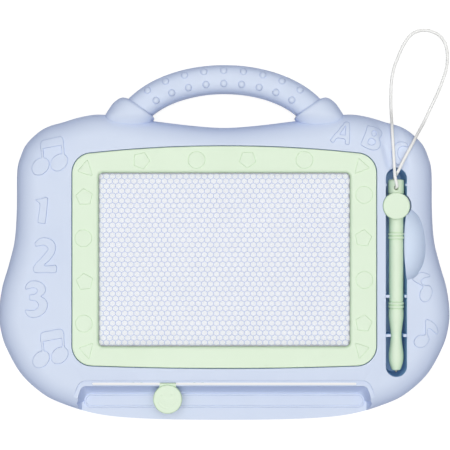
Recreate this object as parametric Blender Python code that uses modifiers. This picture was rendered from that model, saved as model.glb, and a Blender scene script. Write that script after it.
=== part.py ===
"""Magnetic drawing board with a sliding eraser bar and a pen on a cord.

Lengths are in metres. X runs across the board, Y runs from the eraser tray to
the handle, and Z rises from the flat back, which rests on z = 0. The origin is
the bottom centre of the board's box, without the cord.
"""
import math

import bmesh
import bpy
from mathutils import Matrix, Vector

# Drawing window and the margins round it
SCREEN_WIDTH = 0.1828
SCREEN_LENGTH = 0.1265
SCREEN_CORNER_RADIUS = 0.0035
FRAME_SIDE_RAIL = 0.0190
FRAME_TOP_RAIL = 0.0192
FRAME_BOTTOM_RAIL = 0.0155
FRAME_CORNER_RADIUS = 0.0145
FRAME_TOP_BOW = 0.0051
FRAME_BOTTOM_BOW = 0.0018
SIDE_MARGIN = 0.0553
TOP_MARGIN = 0.0142
BOTTOM_MARGIN = 0.0395

# Case shells
FRONT_DEPTH = 0.0130
BACK_DEPTH = 0.0110
FACE_ROUNDING = 0.0170
BACK_ROUNDING = 0.0090
WALL = 0.0022
PARTING_GAP = 0.0003
FIT_GAP = 0.0003
OVERRUN = 0.0010

# Handle
HANDLE_RADIUS = 0.0103
HANDLE_HALF_SPAN = 0.0728
HANDLE_FINGER_GAP = 0.0255
HANDLE_SINK = 0.0079
HANDLE_END_ANGLE = math.radians(22)
HANDLE_BORE_END_ANGLE = math.radians(9)
COLLAR_ANGLE = math.radians(32)
COLLAR_MOUTH_TILT = math.radians(55)
DOT_RADIUS = 0.0026
DOT_HEIGHT = 0.0011
DOT_PITCH = 0.0139
DOT_ROW_TILT = math.radians(28)
DOTS_PER_ROW = 9

# Frame and the panel below it
FRAME_LIP = 0.0030
FRAME_THICKNESS = 0.0032
FRAME_EDGE = 0.0009
FRAME_SEAT_DEPTH = 0.0030
LEDGE_THICKNESS = 0.0022
RELIEF_RADIUS = 0.0062
RELIEF_HEIGHT = 0.0009
RELIEF_TOP_PITCH = 0.0392
RELIEF_SIDE_PITCH = 0.0308
RELIEF_TOP_CORNER = 0.0036
RELIEF_BOTTOM_CORNER = 0.0021
PEG_RADIUS = 0.0015
PEG_LENGTH = 0.0030
FILM_THICKNESS = 0.0008
CELL_LAYER_THICKNESS = 0.0030
BACK_SHEET_THICKNESS = 0.0006
PANEL_STEP_THICKNESS = 0.0010

# Pen channel and finger scoop
CHANNEL_WIDTH = 0.0152
CHANNEL_FRAME_MARGIN = 0.0069
CHANNEL_TIP_MARGIN = 0.0025
CHANNEL_CENTRE_LIFT = 0.0091
CHANNEL_DEPTH = 0.0190
DISC_POCKET_RADIUS = 0.0102
DISC_POCKET_DEPTH = 0.0050
RIB_THICKNESS = 0.0020
RIB_SINK = 0.0012
RIB_ONE_FROM_TAIL = 0.0850
RIB_TWO_FROM_TAIL = 0.1135
PIP_RADIUS = 0.0012
PIP_FROM_TAIL = 0.0040
SCOOP_OFFSET = 0.0054
SCOOP_HALF_WIDTH = 0.0162
SCOOP_HALF_LENGTH = 0.0265
SCOOP_BEHIND_DISC = 0.0268
SCOOP_DEPTH = 0.0105
SCOOP_RISE = 0.0060

# Eraser tray and slot
TERRACE_DROP = 0.0013
TERRACE_WIDTH = 0.0038
TRAY_DROP = 0.0110
TRAY_HALF_WIDTH = 0.1016
TRAY_FACE_MARGIN = 0.0093
TRAY_SLOPE_RUN = 0.0065
TRAY_END_FLARE = 0.0105
TRAY_END_RUN = 0.0169
TRAY_END_SLOPE = 0.0010
SLOT_WIDTH = 0.0026
SLOT_HALF_LENGTH = 0.0960
SLOT_INSET = 0.0008
BACK_SLOT_WIDTH = 0.0050
BACK_SLOT_SHIFT = 0.0029
BEAD_RADIUS = 0.0008
BEAD_HALF_LENGTH = 0.1026
BEAD_HALF_WIDTH = 0.0048
BEAD_FROM_SLOT = 0.0137

# Eraser
KNOB_RADIUS = 0.0103
KNOB_EDGE = 0.0008
KNOB_DISC_THICKNESS = 0.0030
KNOB_HUB_RADIUS = 0.0050
KNOB_HUB_LENGTH = 0.0055
KNOB_FROM_SLOT = 0.0110
KNOB_REST_X = -0.0411
NECK_WIDTH = 0.0118
NECK_THICKNESS = 0.0022
TONGUE_THICKNESS = 0.0015
TONGUE_LENGTH = 0.0060
FOOT_HALF_LENGTH = 0.0266
FOOT_HEIGHT = 0.0037
FOOT_DEPTH = 0.0042
FOOT_SHOW = 0.0005
FOOT_BUMP_RADIUS = 0.0012
FOOT_BUMP_PLACE_SHARES = (-0.95, -0.72, 0.72, 0.95)
BAR_WIDTH = 0.0080
BAR_DEPTH = 0.0045
BAR_TOP_REACH = 0.0085
RISER_DEPTH = 0.0071
MAGNET_WIDTH = 0.0026
MAGNET_THICKNESS = 0.0019
MAGNET_END_MARGIN = 0.0035
PIN_RADIUS = 0.0010
PIN_LENGTH = 0.0042
PIN_SPACING = 0.0060
PIN_RISE = 0.0020
RAIL_THICKNESS = 0.0020
RAIL_MARGIN = 0.0030

# Pen
PEN_AXIS_DROP = 0.0065
PEN_RADIUS = 0.0052
PEN_TAIL_MARGIN = 0.0084
PEN_CAP_RADIUS = 0.0057
PEN_CAP_LENGTH = 0.0103
PEN_PLUG_RADIUS = 0.0032
PEN_PLUG_LENGTH = 0.0048
PEN_LENGTH = 0.1391
PEN_TIP_RADIUS = 0.0010
PEN_TIP_LENGTH = 0.0080
PEN_TIP_SHOW = 0.0018
PEN_BORE_RADIUS = 0.0022
PEN_RING_HEIGHT = 0.0004
PEN_RING_WIDTH = 0.0011
PEN_RING_PITCH = 0.0026
PEN_RINGS_FROM_TAIL = (0.0400, 0.0905)
PEN_GRIP_FROM_TAIL = 0.0960
PEN_WAIST_RADIUS = 0.00395
PEN_GRIP_SHARES = (
    (0.00, 1.038), (0.10, 1.035), (0.26, 0.89), (0.41, 0.76), (0.56, 0.86),
    (0.73, 1.029), (0.87, 0.96), (1.00, 0.61),
)
CORD_HOLE_RADIUS = 0.00155
CORD_HOLE_MARGIN = 0.0061
KNOT_RADIUS = 0.0022
KNOT_ROOM_RADIUS = 0.0033
DISC_RADIUS = 0.0094
DISC_THICKNESS = 0.0030
DISC_EDGE = 0.0008
DISC_SHOW = 0.0010
DISC_FROM_TAIL = 0.0195
DISC_PEG_RADIUS = 0.0014
DISC_PEG_LENGTH = 0.0030

# Cord
CORD_DIAMETER = 0.0022
CORD_POINT_SPACING = 0.0044

# Screws and their bosses
SCREW_HEAD_RADIUS = 0.0030
SCREW_HEAD_HEIGHT = 0.0020
SCREW_HEAD_TOP_SHARE = 0.8
SCREW_SHANK_RADIUS = 0.0013
SCREW_LENGTH = 0.0140
SCREW_SINK = 0.0037
SCREW_DRIVE_RADIUS = 0.0011
SCREW_DRIVE_DEPTH = 0.0010
BOSS_RADIUS = 0.0046
FRONT_BOSS_RADIUS = 0.0034
BOSS_SHOULDER_INSET = 0.0360
BOSS_SHOULDER_RISE = 0.0002
BOSS_COLLAR_X = 0.0900
BOSS_COLLAR_RISE = 0.0088
BOSS_HIP_INSET = 0.0197
BOSS_HIP_DROP = 0.0328
BOSS_FOOT_INSET = 0.0487
BOSS_FOOT_RISE = 0.0210

# Counts
OUTLINE_POINTS = 80
FACE_STEPS = 5
BACK_STEPS = 3
HOLLOW_FACE_STEPS = 3
HOLLOW_BACK_STEPS = 2
HANDLE_POINTS = 24
COLLAR_POINTS = 20
CORNER_STEPS = 5
BOW_STEPS = 6
ROUND_STEPS = 16
WIDE_STEPS = 20
PEN_STEPS = 12
SCREW_STEPS = 8
DOT_STEPS = 8
CORD_STEPS = 2
SEAT_STEPS = 6
HANDLE_STEPS = 6
HANDLE_BORE_STEPS = 4
BEAD_STEPS = 1
ARCH_STEPS = 1800
FIVE_CORNERS = 5
THREE_CORNERS = 3
SHARP_ANGLE = math.radians(35)
BEVEL_ANGLE = math.radians(50)
MERGE_DISTANCE = 0.00005

# Places worked out from the sizes above
CASE_HEIGHT = BACK_DEPTH + FRONT_DEPTH
SCREEN_HALF = SCREEN_WIDTH / 2
FRAME_HALF = SCREEN_HALF + FRAME_SIDE_RAIL
CASE_HALF = FRAME_HALF + SIDE_MARGIN
CASE_LENGTH = BOTTOM_MARGIN + FRAME_BOTTOM_RAIL + SCREEN_LENGTH + FRAME_TOP_RAIL + TOP_MARGIN
OVERALL_LENGTH = CASE_LENGTH + HANDLE_FINGER_GAP + 2 * HANDLE_RADIUS
CASE_BOTTOM = -OVERALL_LENGTH / 2
FRAME_BOTTOM = CASE_BOTTOM + BOTTOM_MARGIN
SCREEN_BOTTOM = FRAME_BOTTOM + FRAME_BOTTOM_RAIL
SCREEN_TOP = SCREEN_BOTTOM + SCREEN_LENGTH
SCREEN_MIDDLE = (SCREEN_BOTTOM + SCREEN_TOP) / 2
FRAME_TOP = SCREEN_TOP + FRAME_TOP_RAIL
CASE_TOP = FRAME_TOP + TOP_MARGIN
HANDLE_CENTRE_Y = CASE_TOP - HANDLE_SINK
HANDLE_RISE = HANDLE_SINK + HANDLE_FINGER_GAP + HANDLE_RADIUS

FRAME_SEAT = CASE_HEIGHT - FRAME_SEAT_DEPTH
LEDGE_UNDERSIDE = FRAME_SEAT - LEDGE_THICKNESS
FILM_TOP = FRAME_SEAT
CELLS_TOP = FILM_TOP - FILM_THICKNESS - FIT_GAP
SHEET_TOP = CELLS_TOP - CELL_LAYER_THICKNESS - FIT_GAP
PANEL_STEP_TOP = SHEET_TOP - BACK_SHEET_THICKNESS - FIT_GAP
PANEL_STEP_UNDERSIDE = PANEL_STEP_TOP - PANEL_STEP_THICKNESS

CHANNEL_X = FRAME_HALF + CHANNEL_FRAME_MARGIN + CHANNEL_WIDTH / 2
CHANNEL_LENGTH = PEN_TAIL_MARGIN + PEN_LENGTH + PEN_TIP_SHOW + CHANNEL_TIP_MARGIN
CHANNEL_MIDDLE = SCREEN_MIDDLE - CHANNEL_CENTRE_LIFT
CHANNEL_TOP = CHANNEL_MIDDLE + CHANNEL_LENGTH / 2
CHANNEL_FLOOR = CASE_HEIGHT - CHANNEL_DEPTH
PEN_Z = CASE_HEIGHT - PEN_AXIS_DROP
PEN_TAIL = CHANNEL_TOP - PEN_TAIL_MARGIN
CORD_HOLE_Y = PEN_TAIL - CORD_HOLE_MARGIN
DISC_Y = PEN_TAIL - DISC_FROM_TAIL

TERRACE_Z = CASE_HEIGHT - TERRACE_DROP
TRAY_FLOOR = CASE_HEIGHT - TRAY_DROP
TRAY_EDGE_Y = FRAME_BOTTOM - TRAY_FACE_MARGIN
TRAY_RIM_Y = TRAY_EDGE_Y - TERRACE_WIDTH
SLOT_TOP_Y = TRAY_EDGE_Y - SLOT_INSET
SLOT_BOTTOM_Y = SLOT_TOP_Y - SLOT_WIDTH
SLOT_MIDDLE_Y = (SLOT_TOP_Y + SLOT_BOTTOM_Y) / 2
KNOB_Y = SLOT_MIDDLE_Y - KNOB_FROM_SLOT
KNOB_UNDERSIDE = TERRACE_Z + FIT_GAP
FOOT_TOP = TERRACE_Z - WALL - FIT_GAP
FOOT_FRONT_Y = SLOT_TOP_Y - FOOT_SHOW
FOOT_UNDERSIDE = FOOT_TOP - FOOT_HEIGHT
BAR_TOP = PANEL_STEP_UNDERSIDE - 2 * FIT_GAP
BAR_UNDERSIDE = BAR_TOP - BAR_DEPTH
ERASER_REACH = SLOT_HALF_LENGTH - NECK_WIDTH / 2 - FIT_GAP

CASE_OUTLINE_SHARES = (
    (0.139, 1.007), (0.314, 1.023), (0.531, 1.045), (0.632, 1.038), (0.721, 1.018),
    (0.776, 1.006), (0.823, 0.986), (0.878, 0.945), (0.904, 0.903), (0.920, 0.850),
    (0.922, 0.719), (0.931, 0.616), (0.956, 0.534), (0.987, 0.451), (1.000, 0.370),
    (0.992, 0.305), (0.967, 0.246), (0.907, 0.163), (0.827, 0.102), (0.736, 0.061),
    (0.560, 0.020), (0.336, 0.004),
)
COLLAR_SHARES = (
    (0.00, 0.00, 1.06, 1.05),
    (0.12, 0.08, 1.26, 1.13),
    (0.33, 0.22, 1.47, 1.20),
    (1.00, 0.23, 1.60, 1.18),
    (1.50, 0.19, 1.57, 0.94),
    (1.80, 0.15, 1.50, 0.60),
)
TRAY_END_SHARES = ((0.00, 1.00), (0.36, 0.87), (0.65, 0.50), (0.78, 0.18), (1.00, 0.00))

# The cord's route, from the knot out of the pen's upper side and back in below
CORD_ROUTE = (
    (0.1249, 0.0400, 0.0200), (0.1249, 0.0412, 0.0264), (0.1247, 0.0475, 0.0284),
    (0.1237, 0.0550, 0.0261), (0.1234, 0.0600, 0.0254), (0.1229, 0.0680, 0.0254),
    (0.1224, 0.0760, 0.0245), (0.1221, 0.0840, 0.0212), (0.1223, 0.0895, 0.0150),
    (0.1228, 0.0935, 0.0075), (0.1232, 0.0985, 0.0024), (0.1236, 0.1040, 0.0012),
    (0.1242, 0.1120, 0.0012), (0.1250, 0.1232, 0.0012), (0.1275, 0.1320, 0.0012),
    (0.1320, 0.1425, 0.0012), (0.1373, 0.1512, 0.0012), (0.1430, 0.1561, 0.0012),
    (0.1496, 0.1576, 0.0012), (0.1560, 0.1562, 0.0012), (0.1615, 0.1525, 0.0012),
    (0.1650, 0.1463, 0.0012), (0.1662, 0.1379, 0.0012), (0.1651, 0.1283, 0.0012),
    (0.1619, 0.1187, 0.0012), (0.1577, 0.1090, 0.0012), (0.1527, 0.0985, 0.0014),
    (0.1494, 0.0920, 0.0040), (0.1464, 0.0860, 0.0110), (0.1433, 0.0800, 0.0176),
    (0.1400, 0.0746, 0.0222), (0.1360, 0.0690, 0.0247), (0.1289, 0.0590, 0.0264),
    (0.1274, 0.0552, 0.0268), (0.1266, 0.0524, 0.0252), (0.1260, 0.0512, 0.0212),
    (0.1251, 0.0510, 0.0113), (0.1249, 0.0466, 0.0072), (0.1249, 0.0411, 0.0090),
    (0.1249, 0.0400, 0.0150),
)


def clear_scene():
    """Remove the objects that are already in the scene."""
    for item in list(bpy.data.objects):
        bpy.data.objects.remove(item, do_unlink=True)


def new_collection(name):
    """Add a collection to the scene."""
    group = bpy.data.collections.new(name)
    bpy.context.scene.collection.children.link(group)
    return group


def new_material(name, colour, roughness, metallic=0.0):
    """Make a Principled material of one colour."""
    finish = bpy.data.materials.new(name)
    finish.use_nodes = True
    shader = finish.node_tree.nodes["Principled BSDF"]
    shader.inputs["Base Color"].default_value = (*colour, 1.0)
    shader.inputs["Roughness"].default_value = roughness
    shader.inputs["Metallic"].default_value = metallic
    return finish


clear_scene()
BOARD = new_collection("magnetic_drawing_board")
GUIDES = new_collection("guides")

CASE_BLUE = new_material("case_blue", (0.64, 0.69, 0.84), 0.42)
FRAME_GREEN = new_material("frame_green", (0.72, 0.85, 0.68), 0.42)
CLEAR_FILM = new_material("clear_film", (0.90, 0.92, 0.95), 0.15)
CELL_WHITE = new_material("cell_white", (0.82, 0.83, 0.87), 0.50)
SHEET_WHITE = new_material("sheet_white", (0.85, 0.85, 0.85), 0.55)
MAGNET_GREY = new_material("magnet_grey", (0.05, 0.05, 0.05), 0.70)
TIP_STEEL = new_material("tip_steel", (0.30, 0.30, 0.31), 0.35, 1.0)
CORD_WHITE = new_material("cord_white", (0.85, 0.84, 0.80), 0.80)
SCREW_STEEL = new_material("screw_steel", (0.55, 0.56, 0.58), 0.30, 1.0)


def finish_mesh(name, form, finish=None):
    """Turn a bmesh into an object, as a part with a finish or else as a guide."""
    bmesh.ops.recalc_face_normals(form, faces=form.faces)
    mesh = bpy.data.meshes.new(name)
    form.to_mesh(mesh)
    form.free()
    item = bpy.data.objects.new(name, mesh)
    return adopt(item, finish)


def adopt(item, finish):
    """Put an object with the parts and give it its finish, or with the guides."""
    if finish is None:
        GUIDES.objects.link(item)
        item.hide_render = True
        item.display_type = "WIRE"
    else:
        BOARD.objects.link(item)
        item.data.materials.append(finish)
    return item


def smooth(item):
    """Shade an object smooth, with its sharp edges kept."""
    item.data.shade_smooth()
    item.data.set_sharp_from_angle(angle=SHARP_ANGLE)
    return item


def boolean(item, other, operation="DIFFERENCE"):
    """Cut or join an object with another by a Boolean modifier."""
    step = item.modifiers.new(other.name, "BOOLEAN")
    step.operation = operation
    step.object = other
    step.solver = "MANIFOLD"
    return item


def bevel(item, width, segments=2):
    """Round an object's sharp edges."""
    step = item.modifiers.new("edges", "BEVEL")
    step.width = width
    step.segments = segments
    step.limit_method = "ANGLE"
    step.angle_limit = BEVEL_ANGLE
    return item


def smooth_curve(points, per_span, closed=False):
    """Points on a Catmull-Rom curve through the given points."""
    points = [Vector(point) for point in points]
    count = len(points)
    spans = count if closed else count - 1
    path = []
    for span in range(spans):
        near = []
        for step in (-1, 0, 1, 2):
            place = span + step
            if closed:
                near.append(points[place % count])
            elif place < 0:
                near.append(points[0] * 2 - points[1])
            elif place >= count:
                near.append(points[-1] * 2 - points[-2])
            else:
                near.append(points[place])
        before, start, end, after = near
        for step in range(per_span):
            t = step / per_span
            path.append((start * 2 + (end - before) * t
                         + (before * 2 - start * 5 + end * 4 - after) * t ** 2
                         + (start * 3 - before - end * 3 + after) * t ** 3) / 2)
    if not closed:
        path.append(points[-1])
    return path


def even_points(path, count, closed=False):
    """Points at even steps along a path."""
    path = path + [path[0]] if closed else path
    lengths = [0.0]
    for start, end in zip(path, path[1:]):
        lengths.append(lengths[-1] + (end - start).length)
    steps = count if closed else count - 1
    result = []
    span = 0
    for step in range(count):
        target = lengths[-1] * step / steps
        while span < len(lengths) - 2 and lengths[span + 1] < target:
            span += 1
        share = (target - lengths[span]) / (lengths[span + 1] - lengths[span])
        result.append(path[span].lerp(path[span + 1], share))
    return result


def case_outline():
    """The case's outline at its widest, counter-clockwise from the bottom centre."""
    half = [Vector((across * CASE_HALF, CASE_BOTTOM + along * CASE_LENGTH))
            for across, along in reversed(CASE_OUTLINE_SHARES)]
    left = [Vector((-point.x, point.y)) for point in reversed(half)]
    loop = [Vector((0, CASE_BOTTOM))] + half + [Vector((0, CASE_TOP))] + left
    return even_points(smooth_curve(loop, ROUND_STEPS, closed=True), OUTLINE_POINTS, closed=True)


def inset_ring(outline, inset, height):
    """The outline drawn in by an even width, at a height."""
    count = len(outline)
    ring = []
    for index, point in enumerate(outline):
        along = (outline[(index + 1) % count] - outline[index - 1]).normalized()
        ring.append(Vector((point.x - along.y * inset, point.y + along.x * inset, height)))
    return ring


def loft(name, rings, finish=None):
    """A closed body through rings that have equal numbers of points."""
    form = bmesh.new()
    rows = [[form.verts.new(point) for point in ring] for ring in rings]
    count = len(rows[0])
    for lower, upper in zip(rows, rows[1:]):
        for index in range(count):
            after = (index + 1) % count
            form.faces.new((lower[index], lower[after], upper[after], upper[index]))
    form.faces.new(list(reversed(rows[0])))
    form.faces.new(rows[-1])
    return finish_mesh(name, form, finish)


def mesh_from_curve(curve, finish=None):
    """Turn a curve object into a welded mesh object of the same name."""
    bpy.context.view_layer.update()
    shape = curve.evaluated_get(bpy.context.evaluated_depsgraph_get())
    mesh = bpy.data.meshes.new_from_object(shape)
    place = curve.matrix_world.copy()
    name = curve.name
    bpy.data.objects.remove(curve, do_unlink=True)
    form = bmesh.new()
    form.from_mesh(mesh)
    bmesh.ops.remove_doubles(form, verts=form.verts, dist=MERGE_DISTANCE)
    bmesh.ops.recalc_face_normals(form, faces=form.faces)
    form.to_mesh(mesh)
    form.free()
    mesh.materials.clear()
    item = bpy.data.objects.new(name, mesh)
    item.matrix_world = place
    return adopt(item, finish)


def new_curve(name, dimensions, loops, closed):
    """A curve object of straight-run splines through the given points."""
    data = bpy.data.curves.new(name, "CURVE")
    data.dimensions = dimensions
    for loop in loops:
        spline = data.splines.new("POLY")
        spline.points.add(len(loop) - 1)
        for knot, point in zip(spline.points, loop):
            knot.co = (*Vector(point).to_3d(), 1.0)
        spline.use_cyclic_u = closed
    item = bpy.data.objects.new(name, data)
    GUIDES.objects.link(item)
    return item


def plate(name, loops, low, high, finish=None):
    """A flat plate between two heights, with any inner loops as holes."""
    item = new_curve(name, "2D", loops, True)
    item.data.fill_mode = "BOTH"
    item.data.extrude = (high - low) / 2
    item.location.z = (low + high) / 2
    return mesh_from_curve(item, finish)


def tube(name, path, radius, resolution, finish=None, closed=False):
    """A round tube along a path."""
    item = new_curve(name, "3D", [path], closed)
    item.data.bevel_depth = radius
    item.data.bevel_resolution = resolution
    item.data.use_fill_caps = not closed
    return mesh_from_curve(item, finish)


def box(name, low, high, finish=None):
    """A box between two corners."""
    low = Vector(low)
    high = Vector(high)
    form = bmesh.new()
    bmesh.ops.create_cube(form, size=1)
    bmesh.ops.scale(form, vec=high - low, verts=form.verts)
    bmesh.ops.translate(form, vec=(low + high) / 2, verts=form.verts)
    return finish_mesh(name, form, finish)


def cylinder(name, centre, radius, low, high, steps=ROUND_STEPS, finish=None):
    """An upright cylinder between two heights."""
    form = bmesh.new()
    bmesh.ops.create_cone(form, cap_ends=True, segments=steps, radius1=radius, radius2=radius,
                          depth=high - low)
    bmesh.ops.translate(form, vec=(centre[0], centre[1], (low + high) / 2), verts=form.verts)
    return finish_mesh(name, form, finish)


def ellipsoid(name, centre, radii, steps, rings, finish=None):
    """A sphere drawn out to three half lengths."""
    form = bmesh.new()
    bmesh.ops.create_uvsphere(form, u_segments=steps, v_segments=rings, radius=1)
    bmesh.ops.scale(form, vec=radii, verts=form.verts)
    bmesh.ops.translate(form, vec=centre, verts=form.verts)
    return finish_mesh(name, form, finish)


def turned(name, profile, steps, finish=None, ring=False):
    """A turned body about Z, from a profile of (radius, height) that runs top to bottom."""
    mesh = bpy.data.meshes.new(name)
    points = [(radius, 0, height) for radius, height in profile]
    edges = [(index, index + 1) for index in range(len(points) - 1)]
    if ring:
        edges.append((len(points) - 1, 0))
    mesh.from_pydata(points, edges, [])
    item = bpy.data.objects.new(name, mesh)
    adopt(item, finish)
    step = item.modifiers.new("turn", "SCREW")
    step.steps = steps
    step.render_steps = steps
    step.use_merge_vertices = True
    step.merge_threshold = MERGE_DISTANCE
    step.use_smooth_shade = True
    return item


def join(name, items, finish=None):
    """Join separate bodies into one object, to be used as one cutter."""
    form = bmesh.new()
    for item in items:
        piece = item.data.copy()
        piece.transform(item.matrix_world)
        form.from_mesh(piece)
        bpy.data.meshes.remove(piece)
        bpy.data.objects.remove(item, do_unlink=True)
    return finish_mesh(name, form, finish)


def bowed_loop(half_width, low, high, radius, top_bow=0, bottom_bow=0, grow=0):
    """A rectangle with round corners and bowed ends, counter-clockwise, grown by a width."""
    half_width += grow
    high += grow
    low -= grow
    radius += grow
    run = half_width - radius
    corners = (
        (run, low + bottom_bow + radius, -math.pi / 2),
        (run, high - top_bow - radius, 0),
        (-run, high - top_bow - radius, math.pi / 2),
        (-run, low + bottom_bow + radius, math.pi),
    )
    loop = []
    for number, (x, y, start) in enumerate(corners):
        for step in range(CORNER_STEPS + 1):
            angle = start + math.pi / 2 * step / CORNER_STEPS
            loop.append((x + radius * math.cos(angle), y + radius * math.sin(angle)))
        if number == 1 and top_bow:
            loop += bow_points(run, high, top_bow, -1)
        if number == 3 and bottom_bow:
            loop += bow_points(-run, low, -bottom_bow, 1)
    return loop


def bow_points(start, level, bow, way):
    """Points between two corners on an end that bows by a height."""
    points = []
    for step in range(1, BOW_STEPS):
        x = start + way * 2 * abs(start) * step / BOW_STEPS
        points.append((x, level - bow * (x / start) ** 2))
    return points


def stadium(centre_x, low, high, radius, steps=ROUND_STEPS // 2):
    """A long loop with round ends along Y, counter-clockwise."""
    loop = []
    for step in range(steps + 1):
        angle = math.pi + math.pi * step / steps
        loop.append((centre_x + radius * math.cos(angle), low + radius + radius * math.sin(angle)))
    for step in range(steps + 1):
        angle = math.pi * step / steps
        loop.append((centre_x + radius * math.cos(angle), high - radius + radius * math.sin(angle)))
    return loop


def handle_point(angle):
    """A point on the handle's centreline, in the parting plane."""
    return Vector((HANDLE_HALF_SPAN * math.cos(angle),
                   HANDLE_CENTRE_Y + HANDLE_RISE * math.sin(angle), BACK_DEPTH))


def handle_out(angle):
    """The direction out of the arch, square to the handle's centreline."""
    return Vector((HANDLE_RISE * math.cos(angle), HANDLE_HALF_SPAN * math.sin(angle), 0)).normalized()


def handle_path(end_angle):
    """The handle's centreline from one end to the other."""
    sweep = math.pi - 2 * end_angle
    fine = [handle_point(end_angle + sweep * step / ARCH_STEPS) for step in range(ARCH_STEPS + 1)]
    return even_points(fine, HANDLE_POINTS)


def handle_dots():
    """The low round dots along both sides of the handle, as one cutter."""
    angle_step = math.pi / ARCH_STEPS
    angles = [math.pi / 2]
    travelled = 0.0
    angle = math.pi / 2
    while len(angles) < (DOTS_PER_ROW + 1) // 2:
        after = angle - angle_step
        travelled += (handle_point(after) - handle_point(angle)).length
        angle = after
        if travelled >= DOT_PITCH:
            travelled -= DOT_PITCH
            angles.append(angle)
    angles += [math.pi - angle for angle in angles[1:]]
    dots = []
    for angle in angles:
        centre = handle_point(angle)
        out = handle_out(angle)
        for tilt in (DOT_ROW_TILT, -DOT_ROW_TILT):
            for side in (1, -1):
                normal = out * math.sin(tilt) + Vector((0, 0, side * math.cos(tilt)))
                dot = ellipsoid("dot", (0, 0, 0), (DOT_RADIUS, DOT_RADIUS, 2 * DOT_HEIGHT),
                                DOT_STEPS, DOT_STEPS // 2)
                turned_way = normal.to_track_quat("Z", "Y").to_matrix().to_4x4()
                dot.data.transform(Matrix.Translation(centre + normal * (HANDLE_RADIUS - DOT_HEIGHT))
                                   @ turned_way)
                dots.append(dot)
    return join("handle_dots", dots)


def collar(side):
    """The swelling that the handle's end goes into, on the right (1) or left (-1)."""
    mouth = handle_point(math.pi / 2 - side * (math.pi / 2 - COLLAR_ANGLE))
    into = Vector((side * math.cos(COLLAR_MOUTH_TILT), -math.sin(COLLAR_MOUTH_TILT), 0))
    outward = Vector((side * math.sin(COLLAR_MOUTH_TILT), math.cos(COLLAR_MOUTH_TILT), 0))
    rings = []
    for depth, shift, width, height in COLLAR_SHARES:
        centre = mouth + (into * depth + outward * shift) * HANDLE_RADIUS
        ring = []
        for step in range(COLLAR_POINTS):
            angle = 2 * math.pi * (step + 0.5) / COLLAR_POINTS
            point = centre + outward * (width * HANDLE_RADIUS * math.cos(angle))
            reach = height * HANDLE_RADIUS
            if angle > math.pi:
                reach = min(reach, BACK_DEPTH - FIT_GAP)
            point.z += reach * math.sin(angle)
            ring.append(point)
        rings.append(ring)
    return loft(f"collar_{'right' if side > 0 else 'left'}", rings)


def rounded_rings(outline, wall, back_steps, face_steps):
    """Rings of the case's body from its back to its face, drawn in by a wall."""
    rings = []
    for step in range(back_steps, 0, -1):
        angle = math.pi / 2 * step / back_steps
        rings.append(inset_ring(outline, wall + (BACK_ROUNDING - wall / 2) * (1 - math.cos(angle)),
                                BACK_DEPTH - (BACK_DEPTH - wall) * math.sin(angle)))
    for step in range(face_steps + 1):
        angle = math.pi / 2 * step / face_steps
        rings.append(inset_ring(outline, wall + (FACE_ROUNDING - wall / 2) * (1 - math.cos(angle)),
                                BACK_DEPTH + (FRONT_DEPTH - wall) * math.sin(angle)))
    return rings


OUTLINE = case_outline()
HANDLE_TUBE = tube("handle_tube", handle_path(HANDLE_END_ANGLE), HANDLE_RADIUS,
                   HANDLE_STEPS)
HANDLE_BORE = tube("handle_bore", handle_path(HANDLE_BORE_END_ANGLE), HANDLE_RADIUS - WALL,
                   HANDLE_BORE_STEPS)
HANDLE_DOTS = handle_dots()
COLLARS = [collar(side) for side in (-1, 1)]


def case_body(name):
    """The whole outer form of the case with its handle, still solid."""
    body = loft(name, rounded_rings(OUTLINE, 0, BACK_STEPS, FACE_STEPS), CASE_BLUE)
    boolean(body, HANDLE_TUBE, "UNION")
    for swelling in COLLARS:
        boolean(body, swelling, "UNION")
    return boolean(body, HANDLE_DOTS, "UNION")


def hollow(name):
    """The space inside the case's walls."""
    return loft(name, rounded_rings(OUTLINE, WALL, HOLLOW_BACK_STEPS, HOLLOW_FACE_STEPS))


def frame_loop(grow=0):
    """The frame's outer edge, grown by a width."""
    return bowed_loop(FRAME_HALF, FRAME_BOTTOM, FRAME_TOP, FRAME_CORNER_RADIUS,
                      FRAME_TOP_BOW, FRAME_BOTTOM_BOW, grow)


def screen_loop(grow=0):
    """The drawing window's edge, grown by a width."""
    return bowed_loop(SCREEN_HALF, SCREEN_BOTTOM, SCREEN_TOP, SCREEN_CORNER_RADIUS, grow=grow)


def boss_places():
    """The eight screw places, as flat points."""
    places = (
        (CASE_HALF - BOSS_SHOULDER_INSET, FRAME_TOP - BOSS_SHOULDER_RISE),
        (BOSS_COLLAR_X, FRAME_TOP + BOSS_COLLAR_RISE),
        (CASE_HALF - BOSS_HIP_INSET, SCREEN_MIDDLE - BOSS_HIP_DROP),
        (CASE_HALF - BOSS_FOOT_INSET, CASE_BOTTOM + BOSS_FOOT_RISE),
    )
    return [(side * x, y) for x, y in places for side in (-1, 1)]


def bosses(name, radius, low, high):
    """Upright cylinders at all the screw places, as one cutter."""
    return join(name, [cylinder("boss", place, radius, low, high, SCREW_STEPS)
                       for place in boss_places()])


def peg_places():
    """The places of the frame's pegs, half way across its rails."""
    half_x = SCREEN_HALF + (FRAME_SIDE_RAIL + FRAME_LIP) / 2
    top = SCREEN_TOP + (FRAME_TOP_RAIL - FRAME_TOP_BOW + FRAME_LIP) / 2
    bottom = SCREEN_BOTTOM - (FRAME_BOTTOM_RAIL - FRAME_BOTTOM_BOW + FRAME_LIP) / 2
    places = [(side * half_x, SCREEN_MIDDLE + end * SCREEN_LENGTH / 4)
              for side in (-1, 1) for end in (-1, 1)]
    places += [(side * SCREEN_HALF / 2, level) for side in (-1, 1) for level in (top, bottom)]
    return places


def pegs(name, radius, low, high):
    """Upright cylinders at all the frame's peg places, as one cutter."""
    return join(name, [cylinder("peg", place, radius, low, high, SCREW_STEPS)
                       for place in peg_places()])


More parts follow.
